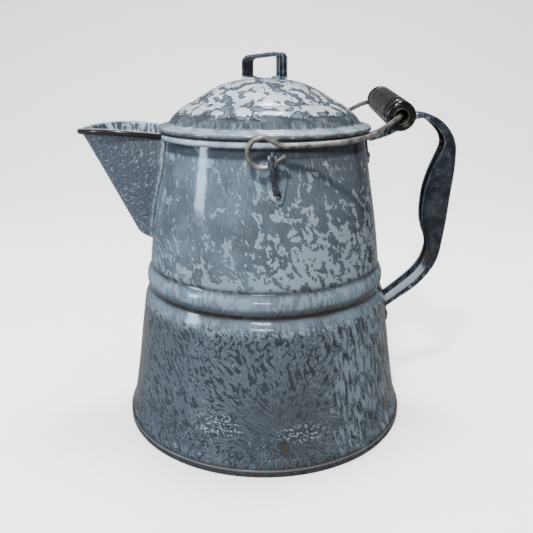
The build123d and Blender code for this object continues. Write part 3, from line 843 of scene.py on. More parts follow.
def lid_enamel():
    """Pale lid with rimmed grey blotches, dots, a dark band of drips above its rim and painted shade under
    its flange.
    """
    m = Enamel("enamel_lid")
    warp = m.cloud(12.0, 2.0)
    fine = m.cloud(1.0, 2.0)
    blotch = m.cloud(7.5, 1.6, 0.45, 0.35)
    rim = m.z.step(247.0, 245.2)
    m.shade = m.mix(warp.step(0.35, 0.6), m.light, m.frost)
    cover = m.z.step(258.0, 250.0) * 0.09 + m.ridge(m.z, 262.0, 4.0) * 0.03
    value = blotch + cover
    dark = value.step(0.515, 0.53)
    m.coat(dark * 0.95, m.mix(fine.step(0.35, 0.65), m.dusk, m.slate))
    m.coat(m.ridge(value, 0.532, 0.022) * 0.9, m.deep)
    dots = m.spots(8.0)
    round_dots = dots.step(0.25, 0.21) * (1.0 - dark)
    m.coat(round_dots * 0.85, m.dusk)
    m.coat(m.ridge(dots, 0.235, 0.025) * (1.0 - dark) * 0.5, m.dusk)
    inner = value.step(0.63, 0.65)
    m.coat(inner * 0.45, m.pale)
    drips = m.noise(m.vector(m.u / 1.7, m.z / 14.0, m.y / 28.0), 1.0, 2.0)
    uneven = m.z + (drips - 0.5) * 5.0 + (m.cloud(16.0, 2.0) - 0.5) * 14.0
    band = uneven.step(254.5, 253.0) * (m.z + (drips - 0.5) * 4.0).step(245.6, 247.2)
    m.coat(band * 0.9, m.mix(warp.step(0.4, 0.6), m.dusk, m.slate))
    m.coat(m.ridge(uneven, 253.4, 1.4) * 0.85, m.deep)
    m.coat(band * drips.step(0.56, 0.64) * m.z.step(252.0, 249.0) * 0.5, m.pale)
    m.coat(band * drips.step(0.42, 0.36) * m.z.step(252.0, 249.0) * 0.7, m.deep)
    m.coat(rim * 0.85, m.mix(warp.step(0.4, 0.6), m.pale, m.light))
    m.coat(rim * drips.step(0.54, 0.62) * 0.3, m.mid)
    crease = m.ridge(m.reach, 57.2, 1.2) * m.z.step(258.0, 260.0)
    m.coat(crease * 0.55, m.deep)
    bare = m.ridge(m.z, 242.9, 1.2) * 0.8
    m.coat(bare, m.mix(warp.step(0.4, 0.6), m.worn, m.slate))
    edge = m.ridge(m.z, 241.7, 1.2) * m.cloud(4.0, 3.0).step(0.32, 0.45)
    m.coat(edge * 0.9, m.grime_and_shade)
    # Painted shade on the lower half of the flange's roll, over the pot's rim.
    m.coat(m.z.step(241.9, 240.6) * 0.9, m.grime_and_shade)
    rough = fine.step(0.2, 0.8) * 0.08 + 0.08 + m.z.step(242.2, 241.4) * 0.5
    level = dark * 0.5 + fine * 0.1 + warp * 1.4
    return m.surface(rough, IOR=1.52, Normal=m.bump(level, 0.25, 0.0005))


def spout_enamel():
    """Darker slate, short pale dashes fanning out from the keel, painted highlight and shade at the lip."""
    m = Enamel("enamel_spout")
    warp = m.cloud(10.0, 2.0)
    fine = m.cloud(0.9, 2.0)
    m.shade = m.mix(warp.step(0.3, 0.7), m.purple, m.slate)
    flat = m.noise(m.vector((m.x + m.z * 0.25) / 3.4, (m.z - m.x * 0.25) / 1.0, m.y / 5.0), 1.0, 2.0)
    steep = m.noise(m.vector((m.x - m.z * 0.5) / 1.2, (m.z + m.x * 0.5) / 4.2, m.y / 5.0), 1.0, 2.0)
    keel = (m.z - KEEL_FOOT[1]) * 0.478 + KEEL_FOOT[0]
    back = ((m.x * -1.0) - keel).math("ABSOLUTE")
    near_root = (back + (warp - 0.5) * 20.0).step(16.0, 34.0)
    dash = flat * (1.0 - near_root) + steep * near_root
    thick = m.cloud(7.0, 2.0).step(0.42, 0.6)
    m.coat(dash.step(0.56, 0.66) * (thick * 0.5 + 0.25), m.light)
    m.coat(dash.step(0.42, 0.34) * 0.5, m.deep)
    fall = m.noted("fall")
    # Painted shade in a dark band under the lip's roll.
    m.coat(fall.step(4.8, 3.6) * 0.75, m.grime_and_shade)
    # Painted highlight along the top of the lip's roll.
    m.coat(fall.step(1.5, 0.9), m.light)
    worn = m.cloud(3.0, 3.0).step(0.5, 0.62)
    m.coat(fall.step(1.9, 1.2) * worn * 0.6, m.deep)
    folded = m.y.math("ABSOLUTE").step(2.0, 0.5) * back.step(5.0, 1.5)
    m.coat(folded * m.cloud(5.0, 3.0).step(0.3, 0.55) * 0.9, m.rust)
    seam = m.noise(m.vector(m.x / 1.5, m.y / 1.5, m.z / 14.0), 1.0, 2.0)
    inner = m.noted("root")
    m.coat(inner.step(7.0, 3.0) * 0.5, m.mid)
    m.coat(inner.step(4.2, 2.6) * inner.step(1.2, 2.2) * seam.step(0.4, 0.6) * 0.8, m.light)
    m.coat(inner.step(1.6, 0.6) * 0.8, m.deep)
    rough = fine.step(0.2, 0.8) * 0.10 + 0.12
    level = dash * 0.8 + fine * 0.12 + warp
    return m.surface(rough, IOR=1.52, Normal=m.bump(level, 0.3, 0.0005))


def lining_enamel():
    """The pale lining on the inside of the spout's sheet, with painted shade on the lower part of the lip's
    roll.
    """
    m = Enamel("enamel_lining")
    streak = m.noise(m.vector(m.x / 2.6, m.y / 2.6, m.z / 18.0), 1.0, 2.0)
    soft = m.cloud(8.0, 2.0)
    m.shade = m.mix(soft.step(0.3, 0.7), m.pale, m.light)
    curl = m.noted("curl")
    m.coat(streak.step(0.46, 0.54) * curl.step(0.25, 0.1) * 0.9, m.deep)
    # Painted shade on the lower part of the lip's roll.
    m.coat(curl.step(0.36, 0.46), m.grime_and_shade)
    return m.surface(streak * 0.1 + 0.15, IOR=1.52)


def small_enamel():
    """Enamel of the ears' shields and the lid's collar: slate with pale specks and dark low edges."""
    m = Enamel("enamel_small")
    soft = m.cloud(5.0, 2.0)
    fine = m.cloud(1.0, 3.0)
    m.shade = m.mix(soft.step(0.35, 0.6), m.slate, m.mid)
    m.coat(m.ridge(m.z, 203.5, 6.0) * m.x.step(9.0, 7.0) * 0.8, m.light)
    m.coat(fine.step(0.6, 0.7) * 0.5, m.pale)
    edge = m.cloud(2.4, 3.0).step(0.58, 0.66) * m.z.step(215.0, 200.0)
    m.coat(edge * 0.7, m.deep)
    return m.surface(fine * 0.2 + 0.12, IOR=1.52)


def worn_ear():
    """Enamel worn from the lug: dull brown steel with pale grey left in streaks."""
    m = Enamel("worn_ear")
    streak = m.noise(m.vector(m.x / 1.2, m.y / 2.0, m.z / 5.0), 1.0, 3.0)
    fine = m.cloud(1.0, 3.0)
    m.shade = m.mix(streak.step(0.35, 0.5), m.old_steel, m.deep)
    m.coat(streak.step(0.56, 0.64) * 0.6, m.pale)
    m.coat(fine.step(0.58, 0.66) * 0.35, m.rust)
    return m.surface(fine * 0.2 + 0.28, Metallic=0.4, Normal=m.bump(streak + fine * 0.4, 0.35, 0.0004))


def strap_enamel():
    """The lid's strap: dark, with painted highlights on its ribs and pale feet."""
    m = Enamel("enamel_strap")
    across = m.y * math.cos(STRAP_TURN) - m.x * math.sin(STRAP_TURN)
    along = m.x * math.cos(STRAP_TURN) + m.y * math.sin(STRAP_TURN)
    outside = along.math("ABSOLUTE").step(15.4, 16.1).most((m.z - along * 0.089).step(295.8, 296.4))
    rib = (across / STRAP_HALF * STRAP_RIBS * math.pi).math("COSINE") * outside
    soft = m.cloud(4.0, 3.0)
    fine = m.cloud(1.0, 3.0)
    m.shade = m.mix(soft.step(0.35, 0.65), m.dark, m.deep)
    # Painted highlights on the ribs, on the strap's outside.
    m.coat(rib.step(0.2, 0.9) * (soft.step(0.38, 0.55) * 0.6 + 0.2), m.pale)
    m.coat(rib.step(0.6, 1.0) * fine.step(0.5, 0.6) * 0.6, m.light)
    rubbed = m.cloud(6.0, 4.0, 0.65).step(0.56, 0.66)
    m.coat(rubbed * 0.6, m.rust)
    m.coat(m.z.step(281.2, 280.2) * 0.9, m.mix(soft.step(0.45, 0.55), m.mid, m.light))
    return m.surface(fine * 0.12 + 0.16 + rubbed * 0.3, IOR=1.52)


def handle_enamel():
    """The rear handle: dark slate, worn pale along its edges, with painted light down its lower arm."""
    m = Enamel("enamel_handle")
    soft = m.cloud(9.0, 2.0)
    fine = m.cloud(1.0, 3.0)
    streak = m.noise(m.vector(m.x / 2.0, m.y / 1.5, m.z / 5.0), 1.0, 2.5, 0.5, 0.5)
    along, edge = m.noted("along"), m.noted("edge")
    m.shade = m.mix(soft.step(0.35, 0.65), m.dark, m.deep)
    fleck = streak.step(0.57, 0.64) * soft.step(0.45, 0.6)
    m.coat(fleck * 0.25, m.mid)
    ends = (along - 0.5).math("ABSOLUTE").step(0.26, 0.34)
    m.coat(ends * streak.step(0.42, 0.56) * 0.35, m.mid)
    m.coat(ends * streak.step(0.56, 0.63) * 0.45, m.light)
    # Painted light on the flanks of the lower arm, near their free edges.
    low_arm = along.step(0.79, 0.83)
    m.coat(low_arm * edge.step(0.36, 0.30) * 0.7, m.light)
    strip = (along - 0.53).math("ABSOLUTE").step(0.16, 0.22) * 0.45 + 0.2
    m.coat(edge.step(0.07, 0.03) * streak.step(0.38, 0.5) * strip, m.pale)
    m.coat(edge.step(0.45, 1.0) * 0.35, m.deep)
    bend = m.ridge(along, 0.75, 0.05) * edge.step(0.3, 0.1)
    rubbed = (m.cloud(5.0, 4.0, 0.65).step(0.65, 0.72) * 0.6).most(bend * soft.step(0.3, 0.45))
    m.coat(rubbed * 0.75, m.rust)
    rough = fine * 0.12 + 0.12 + rubbed * 0.3
    return m.surface(rough, IOR=1.52, Normal=m.bump(streak * 0.6 + fine * 0.2, 0.25, 0.0004))


def handle_inside():
    """Inside of the handle's channel: brown above, dark in the middle, slate in the lower arm."""
    m = Enamel("handle_inside")
    soft = m.cloud(4.0, 3.0)
    brown = m.mix(soft.step(0.4, 0.6), m.umber, m.deep)
    grey = m.mix(soft.step(0.4, 0.6), m.deep, m.slate)
    along = m.noted("along")
    m.shade = m.mix(along.step(0.33, 0.40), brown, m.deep)
    m.coat(along.step(0.76, 0.82), grey)
    return m.surface(soft * 0.2 + 0.2, IOR=1.52)


def dark_enamel():
    """Nearly black slate enamel of the rivet heads, with fine pale flecks and spots of rust."""
    m = Enamel("enamel_dark")
    soft = m.cloud(9.0, 2.0)
    fine = m.cloud(1.0, 3.0)
    streak = m.noise(m.vector(m.x / 2.0, m.y / 1.5, m.z / 6.0), 1.0, 2.5, 0.5, 0.5)
    m.shade = m.mix(soft.step(0.35, 0.65), m.dark, m.deep)
    fleck = streak.step(0.54, 0.63)
    m.coat(fleck * (soft.step(0.4, 0.6) * 0.3 + 0.08), m.mid)
    m.coat(fleck * fine.step(0.56, 0.62) * 0.4, m.light)
    rubbed = m.cloud(5.0, 4.0, 0.65).step(0.61, 0.68)
    m.coat(rubbed * 0.75, m.rust)
    rough = fine * 0.12 + 0.16 + rubbed * 0.3
    return m.surface(rough, IOR=1.52, Normal=m.bump(streak * 0.8 + fine * 0.2, 0.3, 0.0004))


def wire_metal():
    """Dull tinned wire with drawn scratches and brown in the hollows."""
    m = Finish("wire")
    grain = m.noise(m.vector(m.x / 2.5, m.y / 0.5, m.z / 0.5), 1.0, 3.0)
    soft = m.cloud(5.0, 3.0)
    m.shade = m.mix(soft.step(0.35, 0.65), m.steel, m.old_steel)
    m.coat(grain.step(0.57, 0.7) * 0.35, m.rust)
    rusted = m.cloud(3.0, 4.0, 0.6).step(0.62, 0.70)
    m.coat(rusted * 0.5, m.rust)
    return m.surface(soft * 0.2 + 0.28, Metallic=0.6 - rusted * 0.4, Normal=m.bump(grain, 0.2, 0.0003))


def grip_paint():
    """Glossy black paint, chipped to wood at the edges and grooves."""
    m = Finish("grip_paint")
    chips = m.cloud(4.0, 5.0, 0.65)
    grain = m.noise(m.vector(m.x / 0.8, m.y / 9.0, m.z / 0.8), 1.0, 3.0)
    end = (m.y.math("ABSOLUTE") - 43.0).math("ABSOLUTE").step(7.0, 1.0)
    bare = (chips + end * 0.07).step(0.60, 0.63)
    wood = m.mix(grain.step(0.4, 0.6), m.worn, m.old_wood)
    patch = m.ridge(m.y, 20.0, 22.0) * m.cloud(14.0, 2.0).step(0.45, 0.6)
    m.shade = m.mix(patch * 0.5, m.paint, m.worn)
    m.coat(bare, wood)
    rough = bare * 0.45 + 0.05 + chips * 0.1
    return m.surface(rough, Coat_Weight=(1.0 - bare) * 0.3,
                     Normal=m.bump(chips * 1.4 + grain * 0.1 - bare * 0.5, 0.1, 0.0004))


def liner_metal():
    """Dull brownish metal of the tube in the grip."""
    m = Finish("liner")
    m.shade = m.liner
    return m.surface(0.42, Metallic=0.55)


def floor_finish():
    """Pale to look at, but dull in what it throws back on the pot."""
    m = Finish("floor")
    seen = m.add("LightPath").outputs["Is Camera Ray"]
    m.shade = m.mix(seen, tuple(c * 0.1 for c in m.floor), m.floor)
    return m.surface(0.9, Specular_IOR_Level=0.0)


# ---------------------------------------------------------------------------------------------
# Shapes
# ---------------------------------------------------------------------------------------------

def body_outline():
    """The outer wall from under the rim's roll to the foot."""
    parts = [spline(BODY_CONE, 40), spline(BODY_BEAD, 56)[1:], spline(BODY_LOW[:4], 30)[1:],
             spline(BODY_LOW[3:7], 14)[1:], np.array(BODY_LOW[7:])]
    return np.vstack(parts)


def wall_radius(height):
    """Outer radius of the body at a height."""
    outline = body_outline()
    return float(np.interp(height, outline[::-1, 1], outline[::-1, 0]))


def on_wall(across, height, lift=0.0, side=-1):
    """A point beside the wall: across is measured along +X from the ear's middle line."""
    radius = wall_radius(height) + lift
    turn = across / wall_radius(height)
    return radius * math.sin(turn), side * radius * math.cos(turn), height


def wall_plate(name, rows, side, at_back=False):
    """A plate that lies on the wall, from rows of height, left and right edge."""
    rings = []
    for height, left, right in spline(rows, 26):
        ring = []
        for share in np.linspace(0.0, 1.0, 9):
            x, y, z = on_wall(left + (right - left) * share, height, 0.05, side)
            ring.append((-y, x, z) if at_back else (x, y, z))
        rings.append(ring)
    plate = rings_mesh(name, rings, closed=False)
    middle = len(plate.data.polygons) // 2
    centre = plate.data.polygons[middle].center
    facing(plate, middle, (centre.x, centre.y, 0.0))
    depth = bpy.context.scene.boiler_sizes.plate
    return smooth_by_angle(thicken(plate, depth, 1.0, 0.00045))


class BOILER_OT_body(bpy.types.Operator):
    """Turns the wall with its bead and rolled rim, drills the strainer and adds the base seam"""

    bl_idname = "boiler.body"
    bl_label = "Body and base"

    def execute(self, context):
        sizes = context.scene.boiler_sizes
        outer = body_outline()
        inner = outer - np.array([sizes.wall / MM, 0.0])
        roll = arc(RIM_CENTRE, RIM_ROLL, 180, -128, 26)
        profile = np.vstack([outer, inner[::-1], roll, outer[:1]])
        wall = cut(turned("pot_wall", profile, body_enamel), self.drills(sizes))
        mount(smooth_by_angle(wall, 50), "pot", "enamel", "body_shell")
        corners = [(r, 0.0, z) for r, z in SEAM_OUTLINE]
        seam = turned("base_seam", [(p.x, p.z) for p in filleted(corners, SEAM_RADII, 4)], body_enamel)
        mount(smooth_by_angle(seam), "pot", "enamel", "bottom_pan")
        return {"FINISHED"}

    def drills(self, sizes):
        """Strainer drills in level rows, with each row centred behind the spout."""
        places = []
        for row, count in enumerate(STRAINER_ROWS):
            height = STRAINER_FOOT + row * STRAINER_PITCH * math.sin(math.radians(60))
            radius = wall_radius(height)
            for index in range(count):
                turn = math.pi + (index - (count - 1) / 2) * STRAINER_PITCH / radius
                places.append((radius * math.cos(turn), radius * math.sin(turn), height))
        inputs = {"Radius": sizes.hole, "Height": 0.006}
        return outward(grown(mesh_of("strainer_drills", places), studs_group, inputs, body_enamel))


def lip_height(share):
    """Top of the spout's rolled lip, from the tip (0) to the rim (1)."""
    return LIP_TIP - LIP_FALL * share + LIP_CROWN * math.sin(math.pi * share ** 0.75)


def keel_at(height):
    """Distance of the spout's front edge from the axis."""
    slope = (KEEL_TIP[0] - KEEL_FOOT[0]) / (KEEL_TIP[1] - KEEL_FOOT[1])
    tucked = max(0.0, KEEL_FOOT[1] - height)
    return KEEL_FOOT[0] + (height - KEEL_FOOT[1]) * slope - 0.15 * tucked ** 2


def spout_point(across, height):
    """A point on the spout's sheet: across runs from -1 (near wall) over 0 (keel) to 1."""
    levels, spreads, pinches = zip(*SPOUT_LEVELS)
    spread = np.interp(height, levels, spreads)
    pinch = np.interp(height, levels, pinches)
    share = across * across
    keel = keel_at(height)
    half = spread - pinch
    if height < WALL_TOP:
        reach = wall_radius(height) - 0.7
    else:
        reach = RIM_CENTRE[0] + math.sqrt(max(0.0, RIM_ROLL ** 2 - (height - RIM_CENTRE[1]) ** 2)) - 0.6
    reach = max(reach, half + 1.0)
    root = math.sqrt(reach ** 2 - half ** 2)
    return Vector((-keel + share * (keel - root), across * (spread - pinch * share), height))


class BOILER_OT_spout(bpy.types.Operator):
    """Folds the spout's sheet from its keel to the wall and rolls its lip outwards"""

    bl_idname = "boiler.spout"
    bl_label = "Spout"

    def execute(self, context):
        sizes = context.scene.boiler_sizes
        roll = sizes.lip_roll / MM
        columns = np.linspace(-1.0, 1.0, SPOUT_COLUMNS)
        rows = []
        for step in range(SPOUT_ROWS):
            rows.append([self.sheet_point(a, step / (SPOUT_ROWS - 1), roll) for a in columns])
        top = rows[-1]
        for turn in np.radians(np.linspace(180, -118, 14))[1:]:
            ring = []
            for i, point in enumerate(top):
                ahead = top[min(i + 1, len(top) - 1)] - top[max(i - 1, 0)]
                away = Vector((-ahead.y, ahead.x, 0.0)).normalized()
                lift = Vector((0.0, 0.0, roll * math.sin(turn)))
                ring.append(point + away * roll * (1 + math.cos(turn)) + lift)
            rows.append(ring)
        sheet = rings_mesh("spout_sheet", rows, closed=False)
        middle = (SPOUT_COLUMNS - 1) * (SPOUT_ROWS // 2) + SPOUT_COLUMNS // 2
        facing(sheet, middle, (-1.0, 0.0, 0.0))
        self.measure(sheet, rows, roll)
        sheet = thicken(paint(sheet, spout_enamel, lining_enamel), sizes.wall, 0.0)
        mount(smooth_by_angle(sheet, 60), "pot", "enamel", "spout_shell", "spout_lip_wire")
        return {"FINISHED"}

    def measure(self, sheet, rows, roll):
        """Notes how far each point is below the lip's top and from the wall, and its share of the roll."""
        below, beside, curled = [], [], []
        last = SPOUT_ROWS - 1
        for number, row in enumerate(rows):
            for i, point in enumerate(row):
                curled.append(max(0.0, (number - last) / (len(rows) - SPOUT_ROWS)))
                below.append(max(0.0, rows[last][i].z + roll - point.z))
                edge = row[0] if i < SPOUT_COLUMNS // 2 else row[-1]
                beside.append((point - edge).length)
        note(sheet, "fall", below)
        note(sheet, "root", beside)
        note(sheet, "curl", curled)

    def sheet_point(self, across, rise, roll):
        """A point at a share of the height between the foot and the lip's roll."""
        foot = SPOUT_LEVELS[0][0]
        head = lip_height(across * across) - roll - 0.6
        return spout_point(across, foot + (head - foot) * rise)


class BOILER_OT_handle(bpy.types.Operator):
    """Lofts the rear handle's folded channel and lays its two tabs on the wall"""

    bl_idname = "boiler.handle"
    bl_label = "Rear handle"

    def execute(self, context):
        rings = [self.section(*row) for row in spline(HANDLE_STATIONS, HANDLE_ROWS)]
        channel = rings_mesh("rear_handle_channel", rings, closed=False)
        middle = (HANDLE_COLUMNS - 1) * (HANDLE_ROWS // 2) + HANDLE_COLUMNS // 2 - 1
        facing(channel, middle, (1.0, 0.0, 0.0))
        across = np.linspace(-1.0, 1.0, HANDLE_COLUMNS)
        note(channel, "along", [i / (HANDLE_ROWS - 1) for i in range(HANDLE_ROWS) for _ in across])
        note(channel, "edge", [1.0 - abs(share) for _ in rings for share in across])
        depth = context.scene.boiler_sizes.wall
        channel = thicken(paint(channel, handle_enamel, handle_inside), depth, -1.0)
        mount(smooth_by_angle(channel, 60), "pot", "dark_enamel", "rear_handle")
        for name, rows in HANDLE_TABS.items():
            tab = wall_plate(name, rows, -1, at_back=True)
            mount(paint(tab, body_enamel), "pot", "dark_enamel")
        return {"FINISHED"}

    def section(self, back_x, back_z, front_x, front_z, half, gap):
        """One open ring of the channel: round at the back, its flanks folded in."""
        back = Vector((back_x, 0.0, back_z))
        reach = Vector((front_x, 0.0, front_z)) - back
        open_turn = math.radians(180.0 - gap)
        depth = 2.0 / (1.0 + abs(math.cos(open_turn)) ** 0.9) if gap < 90 else 2.0
        ring = []
        for share in np.linspace(-1.0, 1.0, HANDLE_COLUMNS):
            turn = share * open_turn
            side = math.copysign(abs(math.sin(turn)) ** 0.75, turn)
            deep = (1.0 - math.copysign(abs(math.cos(turn)) ** 0.9, math.cos(turn))) / 2.0
            ring.append(back + reach * depth * deep + Vector((0.0, half * side, 0.0)))
        return ring


class BOILER_OT_ears(bpy.types.Operator):
    """Lays a shield plate on the wall for each end of the bail and stands its lug on it"""

    bl_idname = "boiler.ears"
    bl_label = "Bail ears"

    def execute(self, context):
        for side, word in ((-1, "near"), (1, "far")):
            shield = wall_plate(f"ear_{word}_shield", EAR_ROWS, side)
            mount(paint(shield, small_enamel), "pot", "enamel")
            lug = self.lug(f"ear_{word}_lug", side)
            mount(paint(lug, worn_ear), "pot", "enamel", f"bail_ear_{word}")
        return {"FINISHED"}

    def lug(self, name, side):
        """Upright lug with its eye, leaning and thickening towards its foot."""
        rings = []
        for out, height in spline(LUG_OUTLINE, 30)[::-1]:
            low = max(0.0, min(1.0, (LEAN_TOP - height) / LEAN_HEIGHT))
            across = LUG_ACROSS + LEAN * low ** 1.1
            half = LUG_HALF + LUG_SPREAD * low
            y_wall = wall_radius(height) - 0.4
            y_edge = wall_radius(223.0) + out - 1.2
            ring = []
            for turn in np.linspace(0.0, math.tau, 25)[:-1]:
                wide = math.copysign(abs(math.cos(turn)) ** 0.5, math.cos(turn))
                deep = math.copysign(abs(math.sin(turn)) ** 0.35, math.sin(turn))
                y = (y_wall + y_edge) / 2 + (y_edge - y_wall) / 2 * deep
                ring.append((across + half * wide, side * y, height))
            rings.append(ring)
        return smooth_by_angle(cut(rings_mesh(name, rings), self.drill(side)), 40)

    def drill(self, side):
        """An oval bar across the lug, for its eye."""
        rings = []
        for x in (LUG_ACROSS - 3.0, LUG_ACROSS + 3.0):
            ring = []
            for turn in np.linspace(0.0, math.tau, 33)[:-1]:
                ring.append((x, side * RING_SIDE + EYE_HALF_WIDTH * math.cos(turn),
                             EYE_HEIGHT + EYE_HALF_HEIGHT * math.sin(turn)))
            rings.append(ring)
        return rings_mesh("eye_drill", rings)


class BOILER_OT_rivets(bpy.types.Operator):
    """Sets the rivet heads of the handle, the ears and the lid"""

    bl_idname = "boiler.rivets"
    bl_label = "Rivets"

    def execute(self, context):
        lift = context.scene.boiler_sizes.plate / MM
        places = []
        for height in HANDLE_RIVETS.values():
            for across in (-HANDLE_RIVET_SIDE, HANDLE_RIVET_SIDE):
                x, y, z = on_wall(across, height, lift)
                places.append((-y, x, z))
        nodes = [f"handle_{end}_rivet_{word}" for end in HANDLE_RIVETS for word in ("near", "far")]
        self.heads("handle_rivets", places, nodes, "pot", 0.0, dark_enamel)
        places = [on_wall(*spot, lift, side) for side in (-1, 1) for spot in EAR_RIVETS.values()]
        nodes = [f"ear_{word}_rivet_{end}" for word in ("near", "far") for end in EAR_RIVETS]
        self.heads("ear_rivets", places, nodes, "pot", 0.0, small_enamel)
        places = []
        for reach in (-LID_RIVET_REACH, LID_RIVET_REACH):
            places.append((reach * math.cos(STRAP_TURN), reach * math.sin(STRAP_TURN), LID_RIVET_HEIGHT))
        nodes = [f"lid_handle_rivet_{word}" for word in ("left", "right")]
        self.heads("lid_rivets", places, nodes, "lid", 1.0, dark_enamel)
        return {"FINISHED"}

    def heads(self, name, places, nodes, body, upright, maker):
        """One mesh of rivet heads for a body."""
        inputs = {"Radius": bpy.context.scene.boiler_sizes.rivet, "Height": 0.0013, "Upright": upright}
        mount(grown(mesh_of(name, places), studs_group, inputs, maker), body, "rivet", *nodes)


class BOILER_OT_lid(bpy.types.Operator):
    """Turns the stepped lid with its rolled flange"""

    bl_idname = "boiler.lid"
    bl_label = "Lid"

    def execute(self, context):
        wall = context.scene.boiler_sizes.lid_wall / MM
        dome = spline(LID_DOME, 40)
        rise = spline(LID_RISE, 44)
        roll = arc(LID_ROLL_CENTRE, LID_ROLL, 84, -196, 26)
        under = np.vstack([dome[1:], LID_CREASE, rise[:-3]])[::-1] - np.array([0.22 * wall, wall])
        under = np.vstack([under[:-1], [(0.0, LID_DOME[0][1] - wall)]])
        lid = turned("lid_dome", np.vstack([dome, LID_CREASE, rise, roll, under]), lid_enamel)
        mount(smooth_by_angle(lid, 60), "lid", "enamel", "lid_shell")
        return {"FINISHED"}


class BOILER_OT_lid_handle(bpy.types.Operator):
    """Bends the ribbed strap of the lid into its loop"""

    bl_idname = "boiler.lid_handle"
    bl_label = "Lid handle"

    def execute(self, context):
        side, foot = STRAP_SPAN / 2, STRAP_SPAN / 2 - 10.5
        corners = [(-foot, 0, STRAP_FOOT), (-side, 0, STRAP_FOOT), (-side, 0, STRAP_TOP),
                   (side, 0, STRAP_TOP), (side, 0, STRAP_FOOT), (foot, 0, STRAP_FOOT)]
        path = filleted(corners, [1.6, 4.0, 4.0, 1.6], 8)
        rings = []
        for i, point in enumerate(path):
            ahead = (path[min(i + 1, len(path) - 1)] - path[max(i - 1, 0)]).normalized()
            away = Vector((-ahead.z, 0.0, ahead.x))
            share = min(1.0, max(0.0, (point.z - STRAP_FOOT) / 12.0))
            middle = point + Vector((0.0, 0.0, STRAP_RISE * point.x / 15.7 * share))
            rings.append([middle + away * d + Vector((0.0, w, 0.0)) for w, d in self.section()])
        strap = smooth_by_angle(rings_mesh("lid_strap", rings), 50)
        strap.data.transform(Matrix.Rotation(STRAP_TURN, 4, "Z"))
        mount(paint(strap, strap_enamel), "lid", "dark_enamel", "lid_handle")
        return {"FINISHED"}

    def section(self):
        """Across the strap: three ribs outside, shallow hollows inside, rounded edges."""
        half, thick = STRAP_HALF, 1.0
        ring = []
        for w in np.linspace(-half + 0.5, half - 0.5, 31):
            ring.append((w, thick + 0.5 * math.cos(w / half * STRAP_RIBS * math.pi) - 0.15))
        ring += [(half + 0.05, 0.45), (half + 0.05, -0.45)]
        for w in np.linspace(half - 0.5, -half + 0.5, 31):
            ring.append((w, -thick + 0.1 * math.cos(w / half * math.pi)))
        ring += [(-half - 0.05, -0.45), (-half - 0.05, 0.45)]
        return ring


def ring_point(angle):
    """Place on a hinge ring, as x and z."""
    turn = math.radians(angle)
    return HINGE[0] + RING_RADIUS * math.cos(turn), HINGE[1] + RING_RADIUS * math.sin(turn)


def bail_side(side):
    """Corners from a ring's exit to the grip, on one side."""
    x, z = ring_point(EXIT_ANGLE)
    lead = math.radians(EXIT_ANGLE - 90)
    corners = [(x, side * RING_SIDE, z),
               (x + EXIT_LENGTH * math.cos(lead), side * RING_SIDE, z + EXIT_LENGTH * math.sin(lead))]
    for bow_x, bow_y, height, share, _ in BOW:
        y = side * bow_y
        corners.append((bow_x, y, height + y * share * math.tan(GRIP_TILT)))
    return corners


class BOILER_OT_bail(bpy.types.Operator):
    """Bends the bail from one wire: a ring at each end and a bow between them"""

    bl_idname = "boiler.bail"
    bl_label = "Bail wire"

    def execute(self, context):
        radii = [EXIT_RADIUS] + [row[4] for row in BOW]
        bow = filleted(bail_side(-1) + bail_side(1)[::-1], radii + radii[::-1], 10)
        path = self.loop(-1)[::-1] + bow[1:-1] + self.loop(1)
        source = path_object("bail", [tuple(p) for p in path])
        radius = context.scene.boiler_sizes.wire / 2
        wire = grown(source, pipe_group, {"Radius": radius, "Sides": 20}, wire_metal)
        mount(outward(wire), "bail", "wire", "bail_wire")
        return {"FINISHED"}

    def loop(self, side):
        """From the ring's exit round to the free end."""
        path = []
        for angle in np.linspace(EXIT_ANGLE, STUB_ANGLE + 360.0, 56):
            x, z = ring_point(angle)
            path.append(Vector((x, side * RING_SIDE, z)))
        lead = math.radians(STUB_ANGLE + 90)
        last = path[-1]
        for reach in STUB_STEPS:
            path.append(last + Vector((math.cos(lead), 0.0, math.sin(lead))) * reach)
        return path


class BOILER_OT_grip(bpy.types.Operator):
    """Turns the wooden grip and the thin tube in its bore"""

    bl_idname = "boiler.grip"
    bl_label = "Bail grip"

    def execute(self, context):
        lean = Matrix.Rotation(GRIP_TILT - math.pi / 2, 4, "X")
        turn = Matrix.Translation(Vector(GRIP_PLACE) * MM) @ lean
        half = 47.5
        groove = 38.6
        upper = [(6.05, half - 0.8), (6.9, half - 0.1), (8.6, half), (9.9, half - 0.5), (10.7, half - 1.6),
                 (10.9, half - 3.0), (10.9, groove + 1.7), (10.75, groove + 1.2), (10.0, groove + 0.5),
                 (9.7, groove), (10.0, groove - 0.5), (10.75, groove - 1.2), (10.9, groove - 1.8),
                 (11.0, 27.5), (10.6, 27.1), (10.6, 26.7), (11.0, 26.3), (11.0, 0.9), (10.6, 0.5),
                 (10.6, 0.0)]
        profile = upper + [(r, -z) for r, z in upper[-2::-1]]
        profile.append((6.05, half - 0.8))
        grip = turned("wooden_grip", profile, grip_paint, 72)
        grip.data.transform(turn)
        mount(smooth_by_angle(grip, 42), "grip", "grip_paint", "bail_grip")
        tube = [(5.4, half + 0.1), (5.6, half + 0.2), (5.8, half + 0.1), (5.8, -half - 0.1),
                (5.6, -half - 0.2), (5.4, -half - 0.1), (5.4, half + 0.1)]
        liner = turned("grip_tube", tube, liner_metal, 72)
        liner.data.transform(turn)
        mount(smooth_by_angle(liner, 50), "grip", "liner", "grip_liner")
        return {"FINISHED"}


class BOILER_OT_inner(bpy.types.Operator):
    """Paints the frame's own pieces that stay in view"""

    bl_idname = "boiler.inner"
    bl_label = "Inner pieces"

    def execute(self, context):
        paint(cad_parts["rim_wire"], wire_metal)
        paint(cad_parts["lid_collar"], small_enamel)
        return {"FINISHED"}


